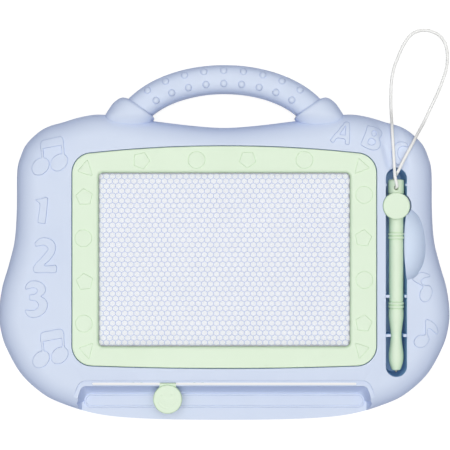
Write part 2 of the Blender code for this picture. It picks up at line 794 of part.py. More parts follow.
def tray_loop(edge_y, half_width, flare, run):
    """A tray's outline that widens towards the case's open bottom edge."""
    right = [(half_width + flare * out, edge_y - run * (1 - share))
             for out, share in TRAY_END_SHARES]
    open_y = CASE_BOTTOM - WALL
    right.append((half_width + flare, open_y))
    return [(-x, y) for x, y in right] + [(x, y) for x, y in reversed(right)]


def tray_cutter(name, grow):
    """The sunk tray below the slot, from its rim down its slope, grown by a wall."""
    flare = TRAY_END_FLARE - TERRACE_WIDTH
    run = TRAY_END_RUN - TERRACE_WIDTH
    rim = tray_loop(TRAY_RIM_Y + grow, TRAY_HALF_WIDTH + grow, flare, run)
    foot = tray_loop(TRAY_RIM_Y - TRAY_SLOPE_RUN + grow,
                     TRAY_HALF_WIDTH - TRAY_END_SLOPE + grow, flare, run - TRAY_SLOPE_RUN)
    levels = [(TRAY_FLOOR, foot), (TERRACE_Z, rim), (CASE_HEIGHT + OVERRUN, rim)]
    if grow:
        levels.insert(0, (BACK_DEPTH - OVERRUN, foot))
    return loft(name, [[Vector((x, y, height)) for x, y in loop] for height, loop in levels])


def terrace_plate(name, grow, low):
    """The flat rim round the tray that the slot lies in, grown by a wall."""
    loop = tray_loop(TRAY_EDGE_Y + grow, TRAY_HALF_WIDTH + grow, TRAY_END_FLARE, TRAY_END_RUN)
    return plate(name, [loop], low, CASE_HEIGHT + OVERRUN)


def channel_loop(grow=0):
    """The pen channel's edge, grown by a width."""
    return stadium(CHANNEL_X, CHANNEL_MIDDLE - CHANNEL_LENGTH / 2 - grow,
                   CHANNEL_TOP + grow, CHANNEL_WIDTH / 2 + grow)


def pen_notch(name, radius, low_y, high_y):
    """The room round the pen, open upwards, that a rib leaves."""
    top = CASE_HEIGHT + OVERRUN
    loop = [(radius, top), (-radius, top)]
    for step in range(ROUND_STEPS // 2 + 1):
        angle = math.pi + 2 * math.pi * step / ROUND_STEPS
        loop.append((radius * math.cos(angle), PEN_Z + radius * math.sin(angle)))
    return loft(name, [[Vector((CHANNEL_X + x, y, z)) for x, z in loop] for y in (low_y, high_y)])


def channel_ribs():
    """The two cross ribs that the pen rests on, and the pips beside its end cap."""
    low = CHANNEL_FLOOR - OVERRUN
    high = CASE_HEIGHT - RIB_SINK
    reach = CHANNEL_WIDTH / 2 + OVERRUN
    places = (
        ("rib_upper", PEN_TAIL - RIB_ONE_FROM_TAIL, PEN_RADIUS + FIT_GAP),
        ("rib_lower", PEN_TAIL - RIB_TWO_FROM_TAIL, PEN_WAIST_RADIUS + 2 * FIT_GAP),
    )
    ribs = []
    for name, place, radius in places:
        near = place - RIB_THICKNESS / 2
        far = place + RIB_THICKNESS / 2
        rib = box(name, (CHANNEL_X - reach, near, low), (CHANNEL_X + reach, far, high))
        boolean(rib, pen_notch(f"{name}_notch", radius, near - OVERRUN, far + OVERRUN))
        ribs.append(rib)
    pip_y = PEN_TAIL - PIP_FROM_TAIL
    for side in (-1, 1):
        place = (CHANNEL_X + side * CHANNEL_WIDTH / 2, pip_y)
        ribs.append(cylinder(f"pip_{side + 1}", place, PIP_RADIUS, low, high, SCREW_STEPS))
    return ribs


def channel_cutter():
    """The pen channel, less the ribs that stand in it."""
    cutter = plate("channel", [channel_loop()], CHANNEL_FLOOR, CASE_HEIGHT + OVERRUN)
    for rib in channel_ribs():
        boolean(cutter, rib)
    return cutter


def scoop(name, grow):
    """The hollow on the channel's outer side that lets a finger reach the pen, grown by a wall."""
    depth = SCOOP_DEPTH + SCOOP_RISE
    widen = 1 / math.sqrt(1 - (SCOOP_RISE / depth) ** 2)
    centre = (CHANNEL_X + SCOOP_OFFSET, DISC_Y - SCOOP_BEHIND_DISC, CASE_HEIGHT + SCOOP_RISE)
    radii = (SCOOP_HALF_WIDTH * widen + grow, SCOOP_HALF_LENGTH * widen + grow, depth + grow)
    hollowed = ellipsoid(name, centre, radii, WIDE_STEPS, WIDE_STEPS)
    low = (centre[0] - radii[0] - OVERRUN, centre[1] - radii[1] - OVERRUN, centre[2] - radii[2] - OVERRUN)
    high = (CHANNEL_X, centre[1] + radii[1] + OVERRUN, centre[2] + radii[2] + OVERRUN)
    return boolean(hollowed, box(name + "_inner_side", low, high))


def front_solids():
    """What stands inside the front shell, kept out of its hollow."""
    channel = plate("channel_outside", [channel_loop(WALL)], CHANNEL_FLOOR - WALL / 2, CASE_HEIGHT)
    pocket = cylinder("disc_pocket_outside", (CHANNEL_X, DISC_Y), DISC_POCKET_RADIUS + WALL,
                      CASE_HEIGHT - DISC_POCKET_DEPTH - WALL, CASE_HEIGHT, WIDE_STEPS)
    solids = [
        plate("ledge", [frame_loop(FIT_GAP + WALL)], LEDGE_UNDERSIDE, CASE_HEIGHT),
        plate("screen_well", [screen_loop(FRAME_LIP + FIT_GAP + WALL)],
              PANEL_STEP_UNDERSIDE, CASE_HEIGHT),
        channel,
        pocket,
        scoop("scoop_outside", WALL),
        tray_cutter("tray_outside", WALL),
        terrace_plate("terrace_outside", WALL, TERRACE_Z - WALL),
        bosses("front_bosses", FRONT_BOSS_RADIUS, BACK_DEPTH - OVERRUN, CASE_HEIGHT),
    ]
    return channel, solids


def half_block(name, low, high):
    """A block over the whole board between two heights, to take one half away."""
    side = CASE_HALF + OVERRUN
    reach = OVERALL_LENGTH / 2 + OVERRUN
    return box(name, (-side, -reach, low), (side, reach, high))


def make_front_shell():
    """The case's front half with its window, channel, scoop, tray, slot and bosses."""
    shell = case_body("front_shell")
    space = hollow("front_hollow")
    boolean(space, HANDLE_BORE, "UNION")
    channel, solids = front_solids()
    for solid in solids:
        boolean(space, solid)
    below = half_block("below_parting", -OVERRUN, BACK_DEPTH + PARTING_GAP / 2)
    boolean(below, channel)
    boolean(shell, below)
    boolean(shell, space)
    top = CASE_HEIGHT + OVERRUN
    boolean(shell, plate("frame_pocket", [frame_loop(FIT_GAP)], FRAME_SEAT, top))
    boolean(shell, plate("panel_pocket", [screen_loop(FRAME_LIP + FIT_GAP)], PANEL_STEP_TOP, top))
    boolean(shell, plate("window", [screen_loop()], PANEL_STEP_UNDERSIDE - OVERRUN, top))
    boolean(shell, pegs("peg_holes", PEG_RADIUS + FIT_GAP, LEDGE_UNDERSIDE - OVERRUN, top))
    boolean(shell, channel_cutter())
    boolean(shell, cylinder("disc_pocket", (CHANNEL_X, DISC_Y), DISC_POCKET_RADIUS,
                            CASE_HEIGHT - DISC_POCKET_DEPTH, top, WIDE_STEPS))
    boolean(shell, scoop("scoop", 0))
    boolean(shell, terrace_plate("terrace", 0, TERRACE_Z))
    boolean(shell, tray_cutter("tray", 0))
    boolean(shell, box("slot", (-SLOT_HALF_LENGTH, SLOT_BOTTOM_Y, TERRACE_Z - 3 * WALL),
                       (SLOT_HALF_LENGTH, SLOT_TOP_Y, top)))
    hole_top = SCREW_SINK + SCREW_LENGTH + OVERRUN
    boolean(shell, bosses("pilot_holes", SCREW_SHANK_RADIUS + FIT_GAP, BACK_DEPTH, hole_top))
    boolean(shell, tray_bead(), "UNION")
    return smooth(shell)


def tray_bead():
    """The raised bead that runs round the tray's floor."""
    middle = SLOT_MIDDLE_Y - BEAD_FROM_SLOT
    loop = [(-y, x + middle) for x, y in stadium(0, -BEAD_HALF_LENGTH, BEAD_HALF_LENGTH,
                                                 BEAD_HALF_WIDTH)]
    path = [Vector((x, y, TRAY_FLOOR)) for x, y in loop]
    return tube("tray_bead", path, BEAD_RADIUS, BEAD_STEPS, closed=True)


def make_back_shell():
    """The case's back half with its rails, bosses, screw holes and slot."""
    shell = case_body("back_shell")
    space = hollow("back_hollow")
    boolean(space, HANDLE_BORE, "UNION")
    reach = ERASER_REACH + BAR_WIDTH / 2 + RAIL_MARGIN
    for name, place in (("rail_upper", SCREEN_TOP + RAIL_MARGIN),
                        ("rail_lower", SCREEN_BOTTOM - RAIL_MARGIN)):
        boolean(space, box(name, (-reach, place - RAIL_THICKNESS / 2, 0),
                           (reach, place + RAIL_THICKNESS / 2, BAR_UNDERSIDE - FIT_GAP)))
    boolean(space, bosses("back_bosses", BOSS_RADIUS, 0, BACK_DEPTH + OVERRUN))
    above = half_block("above_parting", BACK_DEPTH - PARTING_GAP / 2, CASE_HEIGHT + OVERRUN)
    boolean(shell, above)
    boolean(shell, space)
    middle = SLOT_MIDDLE_Y - BACK_SLOT_SHIFT
    half = SLOT_HALF_LENGTH + BACK_SLOT_SHIFT
    boolean(shell, box("back_slot", (-half, middle - BACK_SLOT_WIDTH / 2, -OVERRUN),
                       (half, middle + BACK_SLOT_WIDTH / 2, WALL + OVERRUN)))
    boolean(shell, bosses("screw_holes", SCREW_SHANK_RADIUS + FIT_GAP, -OVERRUN,
                          BACK_DEPTH + OVERRUN))
    boolean(shell, bosses("counterbores", SCREW_HEAD_RADIUS + FIT_GAP, -OVERRUN,
                          SCREW_SINK + FIT_GAP))
    return smooth(shell)


def relief_shape(name, x, y, corners):
    """One low raised shape on the frame, with a drawn-in top."""
    form = bmesh.new()
    low = FRAME_SEAT + FIT_GAP + FRAME_THICKNESS / 2
    high = FRAME_SEAT + FIT_GAP + FRAME_THICKNESS + RELIEF_HEIGHT
    bmesh.ops.create_cone(form, cap_ends=True, segments=corners, radius1=RELIEF_RADIUS,
                          radius2=RELIEF_RADIUS - RELIEF_HEIGHT / 2, depth=high - low)
    bmesh.ops.rotate(form, verts=form.verts, matrix=Matrix.Rotation(math.pi / corners, 3, "Z"))
    bmesh.ops.translate(form, vec=(x, y, (low + high) / 2), verts=form.verts)
    return finish_mesh(name, form)


def frame_relief():
    """Circles, five-sided shapes and corner triangles in turn round the frame."""
    circle, five, three = PEN_STEPS, FIVE_CORNERS, THREE_CORNERS
    side_x = SCREEN_HALF + FRAME_SIDE_RAIL / 2
    top_y = SCREEN_TOP + (FRAME_TOP_RAIL - FRAME_EDGE) / 2
    shapes = []
    top_order = (five, circle, five, circle)
    half_way = (len(top_order) - 1) / 2
    for number, corners in enumerate(top_order):
        shapes.append((RELIEF_TOP_PITCH * (number - half_way), top_y, corners))
    for side, order in ((-1, (circle, five, circle, five)), (1, (five, circle, five, circle))):
        for number, corners in enumerate(order):
            y = SCREEN_MIDDLE + RELIEF_SIDE_PITCH * (number - half_way)
            shapes.append((side * side_x, y, corners))
        shapes.append((side * side_x, SCREEN_TOP + RELIEF_TOP_CORNER, three))
        shapes.append((side * side_x, SCREEN_BOTTOM - RELIEF_BOTTOM_CORNER, three))
    return join("frame_relief", [relief_shape("shape", *place) for place in shapes])


def make_screen_frame():
    """The green frame with its raised shapes above and its pegs below."""
    low = FRAME_SEAT + FIT_GAP
    frame = plate("screen_frame", [frame_loop(), screen_loop()], low, low + FRAME_THICKNESS,
                  FRAME_GREEN)
    bevel(frame, FRAME_EDGE, 1)
    boolean(frame, frame_relief(), "UNION")
    boolean(frame, pegs("frame_pegs", PEG_RADIUS, low - PEG_LENGTH, low + FRAME_THICKNESS / 2),
            "UNION")
    return smooth(frame)


def make_panel():
    """The clear film, the cell layer and the white back sheet, in their step."""
    loop = screen_loop(FRAME_LIP)
    plate("screen_film", [loop], FILM_TOP - FILM_THICKNESS, FILM_TOP, CLEAR_FILM)
    plate("honeycomb_core", [loop], CELLS_TOP - CELL_LAYER_THICKNESS, CELLS_TOP, CELL_WHITE)
    plate("panel_back_sheet", [loop], SHEET_TOP - BACK_SHEET_THICKNESS, SHEET_TOP, SHEET_WHITE)


def knob_pins(name, radius, length):
    """Pins through the knob's tongue into the bar's foot, with their names."""
    pins = []
    for side, word in ((-1, "left"), (1, "right")):
        form = bmesh.new()
        bmesh.ops.create_cone(form, cap_ends=True, segments=SCREW_STEPS, radius1=radius,
                              radius2=radius, depth=length)
        bmesh.ops.rotate(form, verts=form.verts, matrix=Matrix.Rotation(math.pi / 2, 3, "X"))
        place = (KNOB_REST_X + side * PIN_SPACING / 2,
                 SLOT_BOTTOM_Y + FIT_GAP + PIN_LENGTH / 2, FOOT_UNDERSIDE + PIN_RISE)
        bmesh.ops.translate(form, vec=place, verts=form.verts)
        pins.append((f"{name}_{word}", form))
    return pins


def make_eraser():
    """The eraser bar with its magnet, and the knob pinned to the bar's foot."""
    x = KNOB_REST_X
    half = BAR_WIDTH / 2
    back_y = FOOT_FRONT_Y + RISER_DEPTH
    bar = box("eraser_bar", (x - half, FOOT_FRONT_Y, BAR_UNDERSIDE),
              (x + half, SCREEN_TOP + BAR_TOP_REACH, BAR_TOP), FRAME_GREEN)
    boolean(bar, box("riser", (x - half, FOOT_FRONT_Y, BAR_UNDERSIDE), (x + half, back_y, FOOT_TOP)),
            "UNION")
    boolean(bar, box("foot", (x - FOOT_HALF_LENGTH, FOOT_FRONT_Y, FOOT_UNDERSIDE),
                     (x + FOOT_HALF_LENGTH, FOOT_FRONT_Y + FOOT_DEPTH, FOOT_TOP)), "UNION")
    for number, share in enumerate(FOOT_BUMP_PLACE_SHARES):
        place = (x + share * FOOT_HALF_LENGTH, FOOT_FRONT_Y + FOOT_BUMP_RADIUS / 4)
        boolean(bar, cylinder(f"foot_bump_{number}", place, FOOT_BUMP_RADIUS,
                              FOOT_UNDERSIDE, FOOT_TOP, SCREW_STEPS), "UNION")
    low_y = SCREEN_BOTTOM + MAGNET_END_MARGIN
    high_y = SCREEN_TOP - MAGNET_END_MARGIN
    magnet_low = BAR_TOP - MAGNET_THICKNESS
    room = MAGNET_WIDTH / 2 + FIT_GAP
    boolean(bar, box("magnet_groove", (x - room, low_y - FIT_GAP, magnet_low - FIT_GAP),
                     (x + room, high_y + FIT_GAP, BAR_TOP + OVERRUN)))
    for name, form in knob_pins("pin_hole", PIN_RADIUS + FIT_GAP, PIN_LENGTH + 2 * FIT_GAP):
        boolean(bar, finish_mesh(name, form))
    box("eraser_magnet", (x - MAGNET_WIDTH / 2, low_y, magnet_low),
        (x + MAGNET_WIDTH / 2, high_y, BAR_TOP), MAGNET_GREY)
    for name, form in knob_pins("knob_pin", PIN_RADIUS, PIN_LENGTH):
        finish_mesh(name, form, SCREW_STEEL)
    make_knob()


def make_knob():
    """The round knob with its hub, its neck and the tongue that goes down the slot."""
    x = KNOB_REST_X
    top = KNOB_DISC_THICKNESS
    profile = ((0, top), (KNOB_RADIUS - KNOB_EDGE, top), (KNOB_RADIUS, top - KNOB_EDGE),
               (KNOB_RADIUS, KNOB_EDGE), (KNOB_RADIUS - KNOB_EDGE, 0), (KNOB_HUB_RADIUS, 0),
               (KNOB_HUB_RADIUS - KNOB_EDGE, -KNOB_HUB_LENGTH), (0, -KNOB_HUB_LENGTH))
    knob = turned("eraser_knob", profile, WIDE_STEPS, FRAME_GREEN)
    knob.location = (x, KNOB_Y, KNOB_UNDERSIDE)
    half = NECK_WIDTH / 2
    tongue_low = SLOT_BOTTOM_Y + FIT_GAP
    tongue_high = tongue_low + TONGUE_THICKNESS
    neck = box("neck", (x - half, KNOB_Y, KNOB_UNDERSIDE),
               (x + half, tongue_high, KNOB_UNDERSIDE + NECK_THICKNESS))
    tongue = box("tongue", (x - half, tongue_low, KNOB_UNDERSIDE - TONGUE_LENGTH),
                 (x + half, tongue_high, KNOB_UNDERSIDE + NECK_THICKNESS / 2))
    boolean(knob, neck, "UNION")
    boolean(knob, tongue, "UNION")
    for name, form in knob_pins("tongue_hole", PIN_RADIUS + FIT_GAP, PIN_LENGTH + 2 * FIT_GAP):
        boolean(knob, finish_mesh(name, form))


def ring_profile(from_tail):
    """A pair of low rings on the pen's barrel, as profile points."""
    points = []
    for number in range(2):
        start = -from_tail - number * PEN_RING_PITCH
        points += [(PEN_RADIUS, start + PEN_RING_WIDTH / 2),
                   (PEN_RADIUS + PEN_RING_HEIGHT, start),
                   (PEN_RADIUS, start - PEN_RING_WIDTH / 2)]
    return points


def pen_place(item):
    """Lay a turned piece of the pen along the channel, its tail towards the handle."""
    item.location = (CHANNEL_X, PEN_TAIL, PEN_Z)
    item.rotation_euler = (-math.pi / 2, 0, 0)
    return item


def make_pen():
    """The pen's barrel, end cap, thumb disc and magnet tip."""
    start = -PEN_CAP_LENGTH - FIT_GAP
    grip_run = PEN_LENGTH - PEN_GRIP_FROM_TAIL
    grip = [Vector((radius * PEN_RADIUS, -PEN_GRIP_FROM_TAIL - along * grip_run))
            for along, radius in PEN_GRIP_SHARES]
    seat = -PEN_LENGTH - PEN_TIP_SHOW + PEN_TIP_LENGTH + FIT_GAP
    tip_room = PEN_TIP_RADIUS + FIT_GAP
    socket = start - PEN_PLUG_LENGTH - FIT_GAP
    profile = [(PEN_RADIUS - PEN_RING_HEIGHT, start), (PEN_RADIUS, start - PEN_RING_HEIGHT)]
    profile += ring_profile(PEN_RINGS_FROM_TAIL[0]) + ring_profile(PEN_RINGS_FROM_TAIL[1])
    profile += [(point.x, point.y) for point in smooth_curve(grip, 1)]
    profile += [(tip_room, -PEN_LENGTH), (tip_room, seat), (PEN_BORE_RADIUS, seat),
                (PEN_BORE_RADIUS, socket), (PEN_PLUG_RADIUS + FIT_GAP, socket),
                (PEN_PLUG_RADIUS + FIT_GAP, start)]
    barrel = pen_place(turned("pen_barrel", profile, PEN_STEPS, FRAME_GREEN, ring=True))
    peg_low = PEN_Z + PEN_RADIUS - DISC_PEG_LENGTH
    disc_top = CASE_HEIGHT + DISC_SHOW
    place = (CHANNEL_X, DISC_Y)
    boolean(barrel, cylinder("disc_peg_hole", place, DISC_PEG_RADIUS + FIT_GAP, peg_low - FIT_GAP,
                             disc_top, SCREW_STEPS))

    edge = PEN_CAP_RADIUS / 4
    plug_end = start - PEN_PLUG_LENGTH
    cap_profile = ((0, 0), (PEN_CAP_RADIUS - edge, 0), (PEN_CAP_RADIUS - edge / 4, -edge / 3),
                   (PEN_CAP_RADIUS, -edge), (PEN_CAP_RADIUS, -PEN_CAP_LENGTH),
                   (PEN_PLUG_RADIUS, -PEN_CAP_LENGTH), (PEN_PLUG_RADIUS, plug_end), (0, plug_end))
    cap = pen_place(turned("pen_end_cap", cap_profile, PEN_STEPS, FRAME_GREEN))
    hole_place = (CHANNEL_X, CORD_HOLE_Y)
    boolean(cap, cylinder("cord_hole", hole_place, CORD_HOLE_RADIUS,
                          PEN_Z - PEN_CAP_RADIUS - OVERRUN, PEN_Z + PEN_CAP_RADIUS + OVERRUN))
    boolean(cap, ellipsoid("knot_room", (*hole_place, PEN_Z), (KNOT_ROOM_RADIUS,) * 3,
                           SCREW_STEPS, SCREW_STEPS // 2))

    disc = cylinder("pen_thumb_disc", place, DISC_RADIUS, disc_top - DISC_THICKNESS, disc_top,
                    WIDE_STEPS, FRAME_GREEN)
    bevel(disc, DISC_EDGE)
    seat_cutter = level_cylinder("disc_seat", PEN_CAP_RADIUS + FIT_GAP)
    boolean(disc, seat_cutter)
    boolean(disc, cylinder("disc_peg", place, DISC_PEG_RADIUS, peg_low, disc_top - DISC_EDGE,
                           SCREW_STEPS), "UNION")

    tip_profile = ((0, 0), (PEN_TIP_RADIUS, 0), (PEN_TIP_RADIUS, -PEN_TIP_LENGTH + PEN_TIP_RADIUS / 2),
                   (PEN_TIP_RADIUS / 2, -PEN_TIP_LENGTH), (0, -PEN_TIP_LENGTH))
    tip = turned("pen_tip_magnet", tip_profile, SCREW_STEPS, TIP_STEEL)
    pen_place(tip).location.y = PEN_TAIL - PEN_LENGTH - PEN_TIP_SHOW + PEN_TIP_LENGTH


def level_cylinder(name, radius):
    """A level cylinder along the pen's axis, under the thumb disc."""
    reach = DISC_RADIUS + OVERRUN
    path = [Vector((CHANNEL_X, DISC_Y + end * reach, PEN_Z)) for end in (-1, 1)]
    return tube(name, path, radius, SEAT_STEPS)


def make_cord():
    """The cord's loop, and the knot inside the end cap that joins its two ends."""
    path = smooth_curve(CORD_ROUTE, ROUND_STEPS)
    length = sum((end - start).length for start, end in zip(path, path[1:]))
    points = even_points(path, round(length / CORD_POINT_SPACING) + 1)
    tube("pen_cord", points, CORD_DIAMETER / 2, CORD_STEPS, CORD_WHITE)
    ellipsoid("cord_knot", (CHANNEL_X, CORD_HOLE_Y, PEN_Z), (KNOT_RADIUS,) * 3,
              SCREW_STEPS, SCREW_STEPS // 2, CORD_WHITE)
    print(f"The cord is {length:.4f} m long.")


def make_screws():
    """Pan-headed screws with a square drive, up through the back shell's bosses."""
    head = SCREW_HEAD_RADIUS
    low = -SCREW_HEAD_HEIGHT
    profile = ((0, SCREW_LENGTH), (SCREW_SHANK_RADIUS / 3, SCREW_LENGTH),
               (SCREW_SHANK_RADIUS, SCREW_LENGTH - SCREW_SHANK_RADIUS), (SCREW_SHANK_RADIUS, 0),
               (head, 0), (head, low / 2), (head * SCREW_HEAD_TOP_SHARE, low), (SCREW_DRIVE_RADIUS, low),
               (SCREW_DRIVE_RADIUS, low + SCREW_DRIVE_DEPTH), (0, low + SCREW_DRIVE_DEPTH))
    for number, place in enumerate(boss_places(), 1):
        screw = turned(f"shell_screw_{number}", profile, SCREW_STEPS, SCREW_STEEL)
        screw.location = (*place, SCREW_SINK)


make_front_shell()
make_back_shell()
make_screen_frame()
make_panel()
make_eraser()
make_pen()
make_cord()
make_screws()
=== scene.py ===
import math

import bmesh
import bpy
import numpy as np
from mathutils import Matrix, Vector
from mathutils.geometry import delaunay_2d_cdt


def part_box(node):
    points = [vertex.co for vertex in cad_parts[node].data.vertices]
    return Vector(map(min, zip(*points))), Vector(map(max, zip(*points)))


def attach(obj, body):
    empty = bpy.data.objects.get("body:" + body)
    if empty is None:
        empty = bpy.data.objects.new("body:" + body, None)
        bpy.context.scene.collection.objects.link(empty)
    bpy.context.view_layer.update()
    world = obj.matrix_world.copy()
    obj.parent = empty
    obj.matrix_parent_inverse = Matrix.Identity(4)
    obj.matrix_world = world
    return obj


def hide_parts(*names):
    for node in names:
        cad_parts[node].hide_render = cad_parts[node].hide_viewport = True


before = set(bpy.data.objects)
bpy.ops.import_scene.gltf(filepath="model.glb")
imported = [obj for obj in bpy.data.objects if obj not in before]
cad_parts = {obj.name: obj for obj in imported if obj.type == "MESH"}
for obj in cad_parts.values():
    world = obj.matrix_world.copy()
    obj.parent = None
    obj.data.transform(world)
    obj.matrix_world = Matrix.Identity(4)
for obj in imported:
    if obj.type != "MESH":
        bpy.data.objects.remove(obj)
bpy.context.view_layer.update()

MM = 0.001

# Sizes in millimetres, the same as the solids'
CASE_HALF = 165.7
CASE_BOTTOM = -130.5
CASE_LENGTH = 214.9
CASE_TOP = CASE_BOTTOM + CASE_LENGTH
BACK_DEPTH = 11.0
FRONT_DEPTH = 13.0
CASE_HEIGHT = BACK_DEPTH + FRONT_DEPTH
FACE_ROUNDING = 17.0
BACK_ROUNDING = 9.0
WALL = 2.2
PARTING = 0.3
SCREEN_HALF = 91.4
SCREEN_LOW = -75.5
SCREEN_HIGH = 51.0
FRAME_HALF = 110.4
FRAME_LOW = -91.0
FRAME_HIGH = 70.2
FRAME_SEAT = 21.0
FRAME_TOP = 24.5
CHANNEL_X = 124.9
CHANNEL_LOW = -97.3
CHANNEL_HIGH = 54.5
CHANNEL_RADIUS = 7.6
CHANNEL_FLOOR = 5.0
PEN_X = 125.6
PEN_Z = 17.5
PEN_TAIL = 46.1
DISC_Y = 26.6
CORD_HOLE_Y = 40.0
SCOOP_CENTRE = (130.3, -0.9, 30.0)
SCOOP_RADII = (18.1, 28.45, 16.5)
TERRACE_Z = 22.7
TRAY_FLOOR = 13.0
TRAY_EDGE_Y = -100.3
TRAY_RIM_Y = -104.1
TRAY_HALF = 101.6
SLOT = (96.0, -103.4, -101.7)
KNOB = (-41.1, -113.4)
KNOB_LOW = 23.0
KNOB_TOP = 26.0
FILM_LOW = 20.2
CELLS_LOW = 16.9
CELLS_TOP = 19.9
SCREW_SINK = 3.7
PEN_RADIUS = 5.2
PEN_LENGTH = 139.1
HANDLE_CENTRE_Y = 76.5
HANDLE_RISE = 43.45
HANDLE_SPAN = 72.8
HANDLE_RADIUS = 10.3
HANDLE_WIDEN = 1.025
HANDLE_POWER = 2.5
FAR = 200

# Where the photograph was taken from: its middle, its scale and its height over the case
PHOTO_X, PHOTO_Y, EYE_ABOVE = 0.5, 12.9, 850
MM_PER_PIXEL = 0.7366
MIDDLE_PIXEL = 225

CASE_OUTLINE = (
    (0.139, 1.007), (0.314, 1.023), (0.531, 1.045), (0.632, 1.038), (0.721, 1.018), (0.776, 1.006),
    (0.823, 0.986), (0.878, 0.945), (0.904, 0.903), (0.920, 0.850), (0.922, 0.719), (0.931, 0.616),
    (0.956, 0.534), (0.987, 0.451), (1.000, 0.370), (0.992, 0.305), (0.967, 0.246), (0.907, 0.163),
    (0.827, 0.102), (0.736, 0.061), (0.560, 0.020), (0.336, 0.004),
)
COLLAR = (
    (0.00, 0.00, 1.06, 1.05), (0.10, 0.03, 1.30, 1.14), (0.20, 0.09, 1.38, 1.19),
    (0.45, 0.17, 1.46, 1.22), (0.90, 0.235, 1.52, 1.22), (1.45, 0.24, 1.52, 1.22),
    (1.95, 0.22, 1.50, 1.18), (2.30, 0.18, 1.40, 1.00),
)
HANDLE_DOT = (
    (0, -1.2), (2.7, -1.2), (2.7, 0.1), (2.6, 0.55), (2.35, 0.98), (2.0, 1.32), (1.55, 1.57),
    (1.0, 1.73), (0.5, 1.8), (0, 1.82),
)
TRAY_END = ((0.00, 1.00), (0.36, 0.87), (0.65, 0.50), (0.78, 0.18), (1.00, 0.00))
PEN_RING = (
    (-2.95, 0.0), (-2.75, -0.3), (-2.4, -0.3), (-2.1, 0.25), (-1.75, 0.45), (-1.2, 0.5),
    (-0.7, 0.4), (-0.4, 0.2), (-0.2, -0.3),
)
PEN_GRIP = (
    (0.00, 1.038), (0.10, 1.035), (0.26, 0.89), (0.41, 0.76), (0.56, 0.86), (0.73, 1.029),
    (0.87, 0.96), (1.00, 0.61),
)
CORD_ROUTE = (
    (0.1249, 0.0400, 0.0200), (0.1249, 0.0412, 0.0264), (0.1232, 0.0483, 0.0280),
    (0.1231, 0.0527, 0.0266), (0.1229, 0.0587, 0.0256), (0.1226, 0.0648, 0.0254),
    (0.1222, 0.0733, 0.0246), (0.1221, 0.0809, 0.0220), (0.1224, 0.0851, 0.0189),
    (0.1230, 0.0893, 0.0132), (0.1237, 0.0936, 0.0068), (0.1241, 0.0981, 0.0024),
    (0.1241, 0.1034, 0.0012), (0.1241, 0.1098, 0.0012), (0.1243, 0.1165, 0.0012),
    (0.1251, 0.1234, 0.0012), (0.1266, 0.1306, 0.0012), (0.1292, 0.1373, 0.0012),
    (0.1320, 0.1440, 0.0012), (0.1354, 0.1501, 0.0012), (0.1390, 0.1545, 0.0012),
    (0.1433, 0.1570, 0.0012), (0.1483, 0.1580, 0.0012), (0.1538, 0.1573, 0.0012),
    (0.1594, 0.1547, 0.0012), (0.1633, 0.1506, 0.0012), (0.1655, 0.1452, 0.0012),
    (0.1662, 0.1383, 0.0012), (0.1657, 0.1308, 0.0012), (0.1633, 0.1222, 0.0012),
    (0.1594, 0.1122, 0.0012), (0.1551, 0.1031, 0.0012), (0.1509, 0.0941, 0.0016),
    (0.1481, 0.0888, 0.0036), (0.1449, 0.0840, 0.0080), (0.1418, 0.0798, 0.0145),
    (0.1385, 0.0752, 0.0212), (0.1347, 0.0688, 0.0249), (0.1308, 0.0619, 0.0263),
    (0.1278, 0.0561, 0.0270), (0.1262, 0.0528, 0.0269), (0.1253, 0.0506, 0.0250),
    (0.1251, 0.0496, 0.0210), (0.1260, 0.0504, 0.0113), (0.1254, 0.0464, 0.0072),
    (0.1249, 0.0411, 0.0090), (0.1249, 0.0400, 0.0150),
)

# How the reliefs rise from their edges
FIGURE_SLOPE = ((0.0, -0.05), (0.12, 0.32), (0.26, 0.62), (0.42, 0.80), (0.70, 0.88))
FRAME_SLOPE = ((0.0, -0.02), (0.12, 0.18), (0.26, 0.36), (0.42, 0.46), (0.70, 0.50))
KNOB_SLOPE = ((0.0, -0.04), (0.24, 0.04), (0.5, 0.1))

# Outlines of the relief on the case, in pixels of the photograph
ONE = (
    (35.7, 199.5), (40.8, 198.4), (45.6, 197.1), (47.6, 197.8), (48, 199.5), (47, 211.5),
    (45.7, 221.9), (44.7, 223.8), (39.5, 223.2), (37.7, 221.9), (38.7, 213.3), (39.6, 204.6),
    (38.4, 202.5), (35.7, 200.5),
)
TWO = (
    (34.6, 243.4), (36.5, 240.8), (40.8, 238.2), (45.1, 237.5), (50.3, 238.9), (54.2, 242.1),
    (55.9, 247.3), (54.8, 252.9), (52, 257.6), (48.2, 261.9), (44.3, 265.4), (49.5, 265.5),
    (55.5, 265.1), (56.9, 267.1), (56.8, 271), (54.6, 272.9), (45.1, 272.9), (35.7, 272.9),
    (33.3, 270.5), (33.1, 268), (35.2, 264.1), (40, 258.9), (45.1, 253.3), (47.6, 249.4),
    (46.4, 246.7), (42.6, 245.4), (37.6, 246.4), (35.5, 246),
)
THREE = (
    (25.2, 287.3), (27.1, 283.5), (30.5, 281.1), (35.2, 280.6), (40.8, 282), (44.7, 285.6),
    (45.8, 290.3), (44.3, 294.2), (41.3, 296.4), (45.1, 298.7), (47.7, 303.7), (47, 309.3),
    (43.9, 313.6), (38.7, 316.8), (33.5, 317.9), (28.4, 316.4), (25.5, 312.7), (25.5, 309.7),
    (31.4, 310.2), (36.1, 308.9), (38.4, 305.4), (37.2, 302.4), (33.9, 300.7), (29.6, 300.1),
    (29.2, 296.8), (30.1, 294.8), (34.4, 294), (37, 291.6), (36.1, 288.9), (32.2, 288),
    (26.2, 289.5),
)
